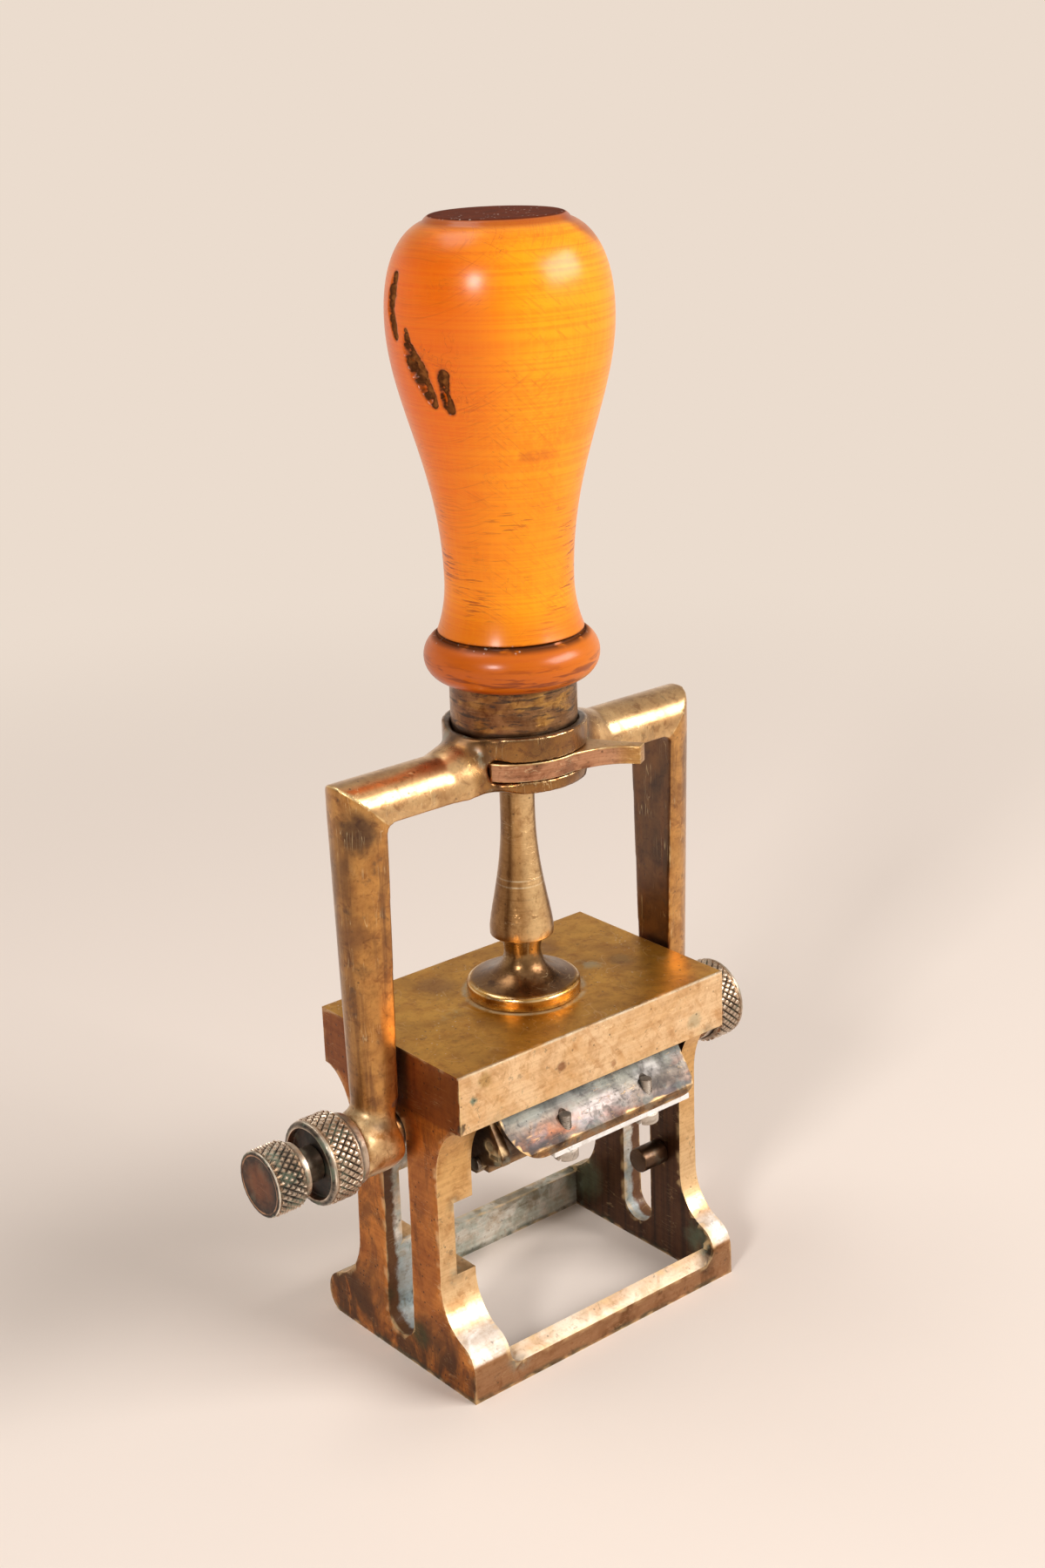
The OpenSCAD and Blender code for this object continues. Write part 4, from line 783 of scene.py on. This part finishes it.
print("head")
for nodes, slotName, finish, bevel, cell in (
        ("head_plate_left head_plate_right", "sheet_brass", sheetMetal, 0.25, 2.5),
        ("flip_cam", "dark_brass", darkMetal, 0.25, 2.5),
        ("front_rail rear_rail", "dark_brass", darkMetal, 0.25, 3),
        ("head_screws", "screw_brass", screwMetal, 0.15, 0),
        ("clamp_strip", "steel", litStripMetal, 0.2, 2),
        ("rear_clamp_bar", "dark_brass", darkMetal, 0.2, 2.5),
        ("rear_clamp_screws", "screw_brass", screwMetal, 0.2, 0),
        ("front_text_plate rear_text_plate", "type_metal", typeMetal, 0.2, 3),
        ("wheel_spacers", "turned_brass", columnMetal, 0.1, 0),
        ("detent_spring", "steel", steelMetal, 0.1, 0),
        ("date_spindle", "steel", steelMetal, 0.2, 0),
        ("wheel_day_tens wheel_day_units wheel_month wheel_year_tens wheel_year_units",
         "type_metal", typeMetal, 0.15, 0)):
    for node in nodes.split():
        dressed(node, finish, bevel, cell)
dressed("front_wing", wingMetal, 0.25, 1.6, quiet=((14.9, -20.08), (-7.1, -20.08)))

print("column")
dressed("column", columnMetal, 0.4, 4, name="columnRod")
dressed("post_flange", flangeMetal, 0.4)
dressed("ferrule", ferruleMetal, 0.3, 2, name="ferruleRing")

print("spring")
spring = {"radius": 7.0, "wire": 0.8, "turns": 9, "low": 130.4, "high": 205.1}


def coilSpring():
    rise = (spring["high"] - spring["low"] - 2 * spring["wire"]) / spring["turns"]
    bpy.ops.mesh.primitive_circle_add(
        vertices=10, radius=spring["wire"] * mm, rotation=(math.pi / 2, 0, 0),
        location=Vector((spring["radius"], 0, spring["low"] + spring["wire"])) * mm)
    piece = placed("returnSpring")
    modified(piece, "SCREW", axis="Z", angle=2 * math.pi, screw_offset=rise * mm,
             iterations=spring["turns"], steps=32, render_steps=32)
    edit(piece, "EDGE")
    pickAll()
    bpy.ops.mesh.fill_holes(sides=0)
    faceOutwards()
    leave()
    weather(piece, [], [])
    finished(piece, "frame", steelMetal, ["return_spring"])
    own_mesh(piece)


coilSpring()

print("handle")
handle = {"bead": 17.2, "beadLow": 138.45, "groove": 148.05, "lip": 14.25, "waist": 12.5,
          "waistZ": 158.05, "belly": 21.4, "bellyZ": 208.0, "top": 13.3, "topZ": 226.4,
          "tenon": 10.88, "tenonZ": 127.0, "bore": 8.5, "boreTop": 207.4, "sides": 176,
          "shoulder": 1.5, "gougeable": (11, 185)}


def curved(a, b, c, d, count):
    # points on a curve from a to d, pulled by b and c; all are (along, radius)
    made = []
    for i in range(1, count + 1):
        t = i / count
        made.append(tuple(
            (1 - t) ** 3 * p + 3 * t * (1 - t) ** 2 * q + 3 * t * t * (1 - t) * r + t ** 3 * w
            for p, q, r, w in zip(a, b, c, d)))
    return made


def handleOutline():
    h = SimpleNamespace(**handle)
    half = (h.groove - h.beadLow) / 2
    bead = [(h.beadLow + half - half * math.cos(math.pi * k / 20),
             h.bead - half + half * math.sin(math.pi * k / 20)) for k in range(1, 18)]
    points = [(h.boreTop, 0), (h.boreTop, h.bore), (h.tenonZ, h.bore),
              (h.tenonZ, h.tenon), (h.beadLow, h.tenon),
              (h.beadLow, h.bead - half)] + bead
    # dusty ledge, thin ridge and dark groove under the lip
    ledge = bead[-1][1]
    points += [(h.groove - 0.75, ledge - 0.5), (h.groove - 0.7, 13.75), (h.groove - 0.35, 13.6),
               (h.groove - 0.3, 13.3), (h.groove - 0.5, 13.1), (h.groove - 0.5, 12.75),
               (h.groove, 12.7), (h.groove + 0.02, 14.0), (h.groove + 0.25, h.lip)]
    start = (h.groove + 0.25, h.lip)
    waist = (h.waistZ, h.waist)
    belly = (h.bellyZ, h.belly)
    points += curved(start, (h.groove + 2.6, h.lip - 0.9), (h.waistZ - 4, h.waist), waist, 14)
    points += curved(waist, (h.waistZ + 22.5, h.waist), (h.bellyZ - 15.5, h.belly), belly, 62)
    # a full shoulder, rounded over into the flat top
    turn = h.shoulder
    shoulder = (h.topZ - turn * 0.75, h.top + 0.35)
    points += curved(belly, (h.bellyZ + 9.5, h.belly), (h.topZ - 3.0, h.top + 5.1), shoulder, 26)
    points += curved(shoulder, (h.topZ - turn * 0.2, h.top - 0.15), (h.topZ, h.top - turn * 0.6),
                     (h.topZ, h.top - turn), 5)
    points += [(h.topZ - 0.02, h.top - turn - 1), (h.topZ - 0.06, 0)]
    return points


# gouges in the wood: each is a row of (height, bearing, half width, depth) blobs
gouges = [
    [(216.5, 165.5, 1.0, 0.5), (213.6, 164, 1.5, 0.9), (211.0, 163, 1.3, 1.0), (208.3, 166, 1.2, 0.7),
     (206.3, 168, 0.9, 0.5)],
    [(207.4, 178.0, 0.5, 0.4), (204.8, 178.5, 1.1, 1.1), (202.3, 181.0, 1.8, 1.5), (200.2, 184.0, 2.0, 1.6),
     (198.0, 186.5, 1.5, 1.3), (195.8, 189.5, 1.3, 1.0), (194.4, 191.0, 0.8, 0.5)],
    [(199.9, 200.0, 1.1, 0.9), (198.4, 199.6, 1.0, 1.0), (196.4, 199.2, 0.9, 1.0), (194.6, 200.2, 1.1, 1.0),
     (193.4, 201.4, 0.8, 0.5)],
]


def gougeBlobs():
    # centre, half width and depth of each blob on the belly's surface
    side = [point for point in handleOutline()
            if point[0] > handle["waistZ"] and point[1] > handle["waist"]]
    made = []
    for row in gouges:
        between = [tuple(a + (b - a) * t for a, b in zip(one, two))
                   for one, two in zip(row, row[1:]) for t in (0.33, 0.67)]
        for height, bearing, wide, deep in row + between:
            angle = math.radians(bearing)
            radius = next(a[1] + (b[1] - a[1]) * (height - a[0]) / (b[0] - a[0])
                          for a, b in zip(side, side[1:]) if a[0] <= height < b[0])
            centre = Vector((radius * math.cos(angle), radius * math.sin(angle), height))
            made.append((centre, wide, deep))
    return made


def woodHandle():
    piece, ridges, corners = turned("turnedHandle", handleOutline(), handle["sides"])
    blobs = gougeBlobs()
    edit(piece)
    pick(piece, "FACE", lambda face: any(
        (face.calc_center_median() / mm - spot).length < wide + 1.6 for spot, wide, deep in blobs))
    bpy.ops.mesh.subdivide(number_cuts=2)
    leave()
    leastRadius, leastHeight = handle["gougeable"]
    for vertex in piece.data.vertices:
        here = vertex.co / mm
        out = Vector((here.x, here.y, 0))
        if out.length < leastRadius or here.z < leastHeight:
            continue
        ragged = 0.2 * softNoise(here * 0.9) + 0.12 * softNoise(here * 2.3)
        sink = 0.0
        for spot, wide, deep in blobs:
            away = (here - spot).length / wide + ragged
            sink = max(sink, deep * min(1, max(0, (1.2 - away) / 0.5)))
        sink *= 0.85 + 0.3 * softNoise(here * 1.1)
        vertex.co -= out.normalized() * max(0, sink) * mm
    weather(piece, ridges, corners, 2.5)
    finished(piece, "plunger", boxwood(), ["handle"])


def boxwood():
    # yellow wood under a polish: rings, rays, scratches, dark ends and the gouges, with painted shade on its
    # left side and on the bead's lower edge and painted light on the bead's right
    s = Surface("polishedBoxwood")
    field = s.blobs([(*spot, wide) for spot, wide, deep in gougeBlobs()])
    field = field + (s.noise(480, 3, 0.6, 0.3, (3, 3, 8)) - 0.5) * 0.35
    torn, lining, halo = field.step(1.12, 1.04), field.near(1.02, 0.24), field.step(1.75, 1.1)
    rings = s.noise((14, 14, 1900), 3, 0.6, 0.1)
    rays = s.noise((1500, 1500, 60), 2, 0.5, 0.2, (3, 0, 0))
    cloud = s.noise((55, 55, 40), 2, 0.5, 0, (0, 4, 0))
    dashes = s.noise((210, 210, 2600), 2, 0.55, 0.2, (7, 7, 0)).step(0.56, 0.66)
    specks = dashes * s.noise((70, 70, 90), 2, 0.5, 0, (9, 1, 3)).step(0.4, 0.62)
    low = s.z.near(0.162, 0.024)
    colour = blend(cloud.step(0.35, 0.65), "ff9600", "ffa404")
    colour = layered(
        colour, (rings.step(0.4, 0.62) * 0.5, "ec7200"), (rays.step(0.45, 0.62) * 0.3, "ffa61a"),
        # the left side is painted a deeper orange as shade
        (s.z.near(0.168, 0.022) * 0.45, "f27e00"), (s.x.step(-0.007, -0.021) * 0.75, "e25400"))
    # fine scratches on two slants
    for across, along, shift in (((900, 0, 900), (45, 0, -45), 1), ((-800, 0, 900), (45, 0, 45), 4)):
        slant = s.leaning(across, along, shift).near(0.5, 0.02)
        slant = slant * s.noise(60, 2, 0.5, 0, (shift, 2, 2)).step(0.42, 0.6)
        colour = blend(slant * 0.4, colour, "c4560a")
    # redder towards the lip, on the bead and at the shoulder under the top
    shoulder = s.z.step(0.2175, 0.2245) * s.noise(60, 2).step(0.3, 0.6) * 0.8
    reddish = s.z.step(0.1575, 0.1485).most(shoulder)
    bead = s.z.step(0.1478, 0.147)
    beadStreak = s.noise((120, 120, 1100), 3, 0.6, 0.3, (2, 6, 1)).step(0.5, 0.62)
    # dark dusty ledge and groove above the bead
    ledge = s.z.near(0.14765, 0.0011) * s.noise(260, 2, 0.5, 0, (1, 1, 1)).step(0.2, 0.4)
    dust = s.spots(900, 0.22, (3, 3, 3)) * s.noise(200, 1).step(0.45, 0.6)
    # the flat top, dark and dusty
    top = s.z.step(0.2261, 0.22628)
    # gouges: rough grey brown inside a dark red halo
    inner = s.noise(650, 4, 0.65, 0.4, (5, 5, 5))
    gouged = blend(inner.step(0.4, 0.62), "6e3e1a", "8a5428")
    # the faint stain and a few dents
    stain = s.ball((-6, -17.5, 184.6), 4.2, (1.6, 1.6, 0.45)) * s.noise(500, 3).step(0.35, 0.55)
    dents = s.noise((420, 420, 300), 2, 0.5, 1.2, (4, 8, 2)).near(0.5, 0.006)
    dents = dents * s.noise(70, 1, 0.5, 0, (6, 2, 8)).step(0.6, 0.68)
    roughness = 0.3 + 0.06 * rings + 0.5 * torn + 0.35 * (top + ledge).least(1.0) + 0.12 * cloud
    height = 0.3 * rings + 0.1 * rays - 0.5 * dents + torn * inner - specks * low * 0.4
    colour = layered(
        colour, (specks * (0.12 + 0.75 * low), "9a4308"), (reddish * 0.6, "cc640c"),
        (s.z.step(0.2244, 0.2256) * 0.7, "8f3408"),
        (s.ball((10, -11.5, 223.8), 6.5, ragged=3) * 0.65, "8f3408"),
        # the bead painted lighter on its right as light, and darker at its lower edge as shade
        (bead * 0.8, blend(s.x.step(-0.008, 0.014), "b85406", "d87406")),
        (bead * beadStreak * s.z.step(0.1455, 0.1425) * 0.75, "7a3208"),
        (bead * s.z.step(0.1405, 0.1386) * 0.6, "a33c06"), (ledge * 0.92, "3a2019"), (top, "5e2712"),
        (top * s.noise(300, 3).step(0.4, 0.65) * 0.5, "3f1c14"), ((top + ledge) * dust * 0.8, "d9c8bc"),
        (halo * 0.6, "b44e0c"), (torn, gouged), (lining * inner.step(0.3, 0.5) * 0.75, "34180a"),
        (stain * 0.55, "c25a0c"), (dents * 0.6, "a04a10"))
    return s.done(colour, roughness, 0.0, height, 0.00012,
                  {"Coat Weight": 0.55 * (1.0 - top - ledge - torn), "Coat Roughness": 0.24,
                   "Specular IOR Level": 0.08})


woodHandle()

print("knobs")
knobs = {"bigSides": 32, "bigRows": 3, "bigDepth": 0.5, "bigGroove": 0.2,
         "smallSides": 27, "smallRows": 3, "smallDepth": 0.8}


def knurled(name, start, end, radius, sides, rows, depth, groove, inward, outward, bored):
    # a wall of small diamonds, then the turned ends; inward runs on from start, outward from end
    middle = (start + end) / 2
    bpy.ops.mesh.primitive_cylinder_add(
        vertices=sides, radius=(radius - depth) * mm, depth=abs(end - start) * mm,
        end_fill_type="NOTHING", location=Vector((middle, 0, pivotZ)) * mm,
        rotation=(0, math.pi / 2, 0))
    piece = placed(name)
    edit(piece, "EDGE")
    pick(piece, "EDGE", lambda e: abs(e.verts[0].co.x - e.verts[1].co.x) > 0.001)
    bpy.ops.mesh.subdivide(number_cuts=rows - 1)
    old = len(bmesh.from_edit_mesh(piece.data).verts)
    pickAll()
    bpy.ops.mesh.poke()
    pick(piece, "EDGE", lambda e: max(v.index for v in e.verts) < old and len(e.link_faces) == 2)
    bpy.ops.mesh.dissolve_edges(use_verts=False)
    faceOutwards()
    # flat diamonds with a groove between them, or else pointed ones
    insets = ((0.04, 0.06), (groove, depth - 0.1), (0.07, 0.04)) if groove else ((0.03, 0.05),)
    for inside, rise in insets:
        bpy.ops.mesh.inset(use_individual=True, thickness=inside * mm, depth=rise * mm)
    if not groove:
        bpy.ops.mesh.poke(offset=(depth - 0.05) * mm, use_relative_offset=False)
    axis = Vector((0, 0, pivotZ)) * mm
    for place, outline in ((start, inward), (end, outward)):
        pick(piece, "EDGE", lambda edge: edge.is_boundary and all(
            abs(v.co.x - place * mm) < 0.00001 for v in edge.verts))
        x, r = place, radius - depth
        for nextX, nextR in softened(outline):
            bpy.ops.mesh.extrude_region_move(TRANSFORM_OT_translate={"value": ((nextX - x) * mm, 0, 0)})
            bpy.ops.transform.resize(value=(1, nextR / r, nextR / r),
                                     center_override=axis + Vector((nextX * mm, 0, 0)))
            x, r = nextX, nextR
    pick(piece, "EDGE", lambda e: e.is_boundary)
    if bored:
        bpy.ops.mesh.bridge_edge_loops()
    else:
        bpy.ops.mesh.fill_holes(sides=0)
    faceOutwards()
    leave()
    ridges, corners = [], []
    for k in range(120):
        turn = Matrix.Rotation(2 * math.pi * k / 120, 3, "X")
        for outline in (inward, outward):
            for i, (x, r, *_) in enumerate(outline):
                spot = axis + turn @ Vector((x, 0, r)) * mm
                (ridges if i in (1, 3) else corners if i in (2, 4) else []).append(spot)
    weather(piece, ridges, corners, 1.6, 0.3)
    # the valleys between the diamonds are hollows too
    low, high = sorted((start * mm, end * mm))
    layer = piece.data.attributes["hollow"].data
    for i, vertex in enumerate(piece.data.vertices):
        if low + 0.0002 < vertex.co.x < high - 0.0002:
            deep = radius - Vector((vertex.co.y, vertex.co.z - pivotZ * mm)).length / mm
            layer[i].value = min(1.0, max(0.0, deep / depth))
    return piece


def recessed(piece, beyond, within):
    # the second finish goes on the turned face inside the rim
    for face in piece.data.polygons:
        spot = face.center / mm
        out = Vector((spot.y, spot.z - pivotZ)).length
        face.material_index = int(abs(spot.x) > beyond and out < within)


def pivotScrew(name, side, body, node, pin, bored):
    # side is -1 on the left and 1 on the right; pin is the pin's own outline
    inward = [(48.3, 8.3), (47.95, 7.95, 0.15), (47.9, 7.5, 0.15), (46.1, 7.5, 0.2),
              (46.1, 4.05, 0.1)] + pin
    outward = [(54.35, 8.62), (54.9, 8.6, 0.2), (55.3, 8.15, 0.2), (55.3, 7.3, 0.12), (53.8, 7.2, 0.3),
               (53.8, 1.95 if bored else 0.4)]
    inward, outward = ([(side * x, *others) for x, *others in outline] for outline in (inward, outward))
    piece = knurled(name, side * 48.5, side * 54.2, 8.8, knobs["bigSides"], knobs["bigRows"],
                    knobs["bigDepth"], knobs["bigGroove"], inward, outward, bored)
    recessed(piece, 53.5, 7.35)
    finished(piece, body, [knobMetal, recessMetal], [node], 32)


pivotScrew("leftPivotScrew", -1, "left_pivot", "left_pivot_screw",
           [(26.2, 4.05, 0.2), (26.2, 3.0), (21.2, 3.0, 0.2), (21.2, 1.95)], True)
pivotScrew("rightPivotScrew", 1, "right_pivot", "right_pivot_screw",
           [(29.9, 4.05, 0.2), (29.9, 3.0), (21.6, 3.0, 0.2), (21.6, 0.4)], False)


def dateKnob():
    inward = [(-60.15, 6.55), (-60.0, 6.3, 0.1), (-60.0, 5.8), (-58.4, 5.8, 0.3), (-58.4, 3.6, 0.2),
              (-54.1, 3.6, 0.1), (-54.1, 1.92)]
    outward = [(-66.35, 6.75), (-66.6, 6.7, 0.1), (-66.8, 6.4, 0.15), (-66.8, 5.9, 0.1),
               (-66.72, 5.75, 0.1), (-66.72, 0.4)]
    piece = knurled("dateKnob", -60.3, -66.2, 7.0, knobs["smallSides"], knobs["smallRows"],
                    knobs["smallDepth"], 0, inward, outward, False)
    recessed(piece, 66.6, 6.3)
    finished(piece, "date_spindle", [knobMetal, recessMetal], ["date_knob"], 30)


dateKnob()

print("clamp screws")
clampScrew = {"places": (14.9, -7.1), "y": -20.08, "crest": 1.3, "root": 1.02, "pitch": 0.5,
              "head": 2.6, "slotWidth": 0.7, "slotTurn": 20}


def clampScrews():
    low, high = (corner.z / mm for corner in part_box("clamp_screws"))
    headTop = low + 2.2
    head, crest, root = clampScrew["head"], clampScrew["crest"], clampScrew["root"]
    outline = [(low, 0), (low, head, 0.5), (headTop, head, 0.15), (headTop, crest)]
    z = headTop + 0.4
    while z + clampScrew["pitch"] < high:
        outline += [(z, crest), (z + 0.2, root), (z + 0.3, root)]
        z += clampScrew["pitch"]
    outline += [(z, crest), (high, 0.9, 0.15), (high, 0)]
    pieces = []
    for x in clampScrew["places"]:
        piece, *_ = turned("clampScrew", outline, 40, (x, clampScrew["y"]))
        bpy.ops.mesh.primitive_cube_add(size=mm, location=Vector((x, clampScrew["y"], low)) * mm,
                                        rotation=(0, 0, math.radians(clampScrew["slotTurn"])),
                                        scale=(8, clampScrew["slotWidth"], 2.2))
        cutter = bpy.context.object
        modified(piece, "BOOLEAN", object=cutter, solver="EXACT")
        bpy.data.objects.remove(cutter)
        pieces.append(piece)
    activate(pieces[0])
    for piece in pieces:
        piece.select_set(True)
    bpy.ops.object.join()
    piece = bpy.context.object
    piece.name = piece.data.name = "clampScrews"
    weather(piece, [], [])
    finished(piece, "head", tipMetal, ["clamp_screws"], 35)


clampScrews()

print("ink pad")
inkPad = {"crown": 0.25, "fuzz": 0.05, "pull": 0.12, "soft": 0.7, "cell": 0.8}


def feltPad():
    low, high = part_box("ink_pad")
    size, middle = (high - low) / mm, (high + low) / 2
    bpy.ops.mesh.primitive_cube_add(size=mm, location=middle, scale=size)
    piece = placed("inkPad")
    modified(piece, "BEVEL", width=inkPad["soft"] * mm, segments=4)
    sliced(piece, inkPad["cell"])
    half = size * mm / 2
    for vertex in piece.data.vertices:
        # sides pull in and the face sinks a little towards its rim
        here = vertex.co - middle
        rim = min(1, max(abs(here.x) / half.x, abs(here.y) / half.y))
        sink = inkPad["crown"] * rim ** 6 + inkPad["fuzz"] * (0.5 + softNoise(vertex.co * 2600))
        vertex.co.z += sink * mm if here.z < 0 else 0
        pull = inkPad["pull"] * (1 - (here.z / half.z) ** 2) * mm
        for k in (0, 1):
            if abs(here[k]) > half[k] - 0.8 * mm:
                vertex.co[k] -= math.copysign(pull, here[k])
    finished(piece, "frame", inkedFelt(), ["ink_pad"])


def inkedFelt():
    s = Surface("inkedFelt")
    fibre = s.noise(900, 4, 0.7, 1.5)
    wet = s.noise(120, 3, 0.6, 0, (2, 2, 2)).step(0.4, 0.62)
    colour = blend(fibre.step(0.35, 0.65), "15101c", "3a2f45")
    colour = blend(wet * 0.7, colour, "0d0a14")
    return s.done(colour, 0.85 - 0.35 * wet, 0.0, fibre, 0.0003, {"Sheen Weight": 0.25})


feltPad()

print("stage")
stage = {"floor": "eee2d8", "far": "ebdcce", "near": 0.24, "faded": 0.6, "room": 0.26}
bpy.ops.mesh.primitive_plane_add(size=80, location=(0, 0, 0))
floor = bpy.context.object
floor.name = "floor"


def shownRays(tools):
    # 1 for what the eye sees, straight or by way of metal and glass
    kinds = ("Is Camera Ray", "Is Glossy Ray", "Is Transmission Ray")
    eye, glossy, through = (tools.add("ShaderNodeLightPath", out=kind) for kind in kinds)
    return eye + glossy + through


def paleFloor():
    # plain near the stamp; far away the eye and reflections see one pale colour
    s = Surface("paleFloor")
    t = s.tools
    near = t.add("ShaderNodeBsdfDiffuse", None, {"Color": tint(stage["floor"])})
    far = t.add("ShaderNodeEmission", None, {"Color": tint(stage["far"]), "Strength": 1.0})
    away = s.radius().step(stage["near"], stage["faded"])
    mixed = t.add("ShaderNodeMixShader", None, {0: shownRays(t) * away, 1: near, 2: far})
    t.add("ShaderNodeOutputMaterial", None, {"Surface": mixed})
    return s.material


floor.data.materials.append(paleFloor())


def lamp(name, azimuth, elevation, distance, width, height, power, colour):
    # a soft box that looks at the middle of the stamp
    turn, rise = math.radians(azimuth), math.radians(elevation)
    away = Vector((math.cos(turn) * math.cos(rise), math.sin(turn) * math.cos(rise), math.sin(rise)))
    bpy.ops.object.light_add(type="AREA", location=Vector((0, 0, 0.11)) + away * distance)
    light = bpy.context.object
    light.name = name
    light.rotation_euler = away.to_track_quat("Z", "Y").to_euler()
    light.data.shape = "RECTANGLE"
    light.data.size, light.data.size_y = width, height
    light.data.energy = power
    light.data.color = colour


lamp("windowRight", -54, 30, 1.5, 1.05, 0.55, 21, (1, 0.97, 0.95))
lamp("windowLeft", -155, 27, 1.5, 0.27, 0.27, 10, (1, 0.98, 0.96))
lamp("behind", 120, 66, 1.6, 0.9, 0.6, 5.5, (1, 0.96, 0.92))


def paleRoom():
    world = bpy.data.worlds.new("paleRoom")
    scene.world = world
    world.use_nodes = True
    world.node_tree.nodes.clear()
    room = Wire(world.node_tree)
    # in reflections: pale at eye level, dimmer towards the ceiling and to the left
    way = room.add("ShaderNodeTexCoord", out="Generated")
    side, depth, height = (room.add("ShaderNodeSeparateXYZ", None, {0: way}, i) for i in range(3))
    wall = height.step(0.22, 0.42)
    colour = blend(wall, stage["far"], "b8ab9e")
    colour = layered(
        colour, (side.step(-0.15, -0.85) * (depth.step(0.9, 0.2)), "7d6e60"),
        (height.step(0.6, 0.85) * 0.8, "efe6dc"),
        (room.add("ShaderNodeLightPath", out="Is Camera Ray"), stage["far"]))
    plain = room.add("ShaderNodeBackground", None, {"Color": tint("fff6ee"), "Strength": stage["room"]})
    seen = room.add("ShaderNodeBackground", None, {"Color": colour, "Strength": 1.0})
    both = room.add("ShaderNodeMixShader", None, {0: shownRays(room), 1: plain, 2: seen})
    room.add("ShaderNodeOutputWorld", None, {"Surface": both})


paleRoom()

eye = Vector((-268.037, -327.273, 267.432)) * mm
target = Vector((1.509, 0, 115.411)) * mm
roll = -0.035
look = (target - eye).normalized()
right = look.cross(Vector((0, 0, 1))).normalized()
up = right.cross(look)
across = right * math.cos(roll) + up * math.sin(roll)
upright = up * math.cos(roll) - right * math.sin(roll)
bpy.ops.object.camera_add(location=eye)
camera = bpy.context.object
camera.matrix_world = Matrix((
    (across.x, upright.x, -look.x, eye.x),
    (across.y, upright.y, -look.y, eye.y),
    (across.z, upright.z, -look.z, eye.z),
    (0, 0, 0, 1)))
camera.data.sensor_fit = "VERTICAL"
camera.data.sensor_height = 36
camera.data.lens = 52.0086
scene.camera = camera
scene.view_settings.view_transform = "Standard"
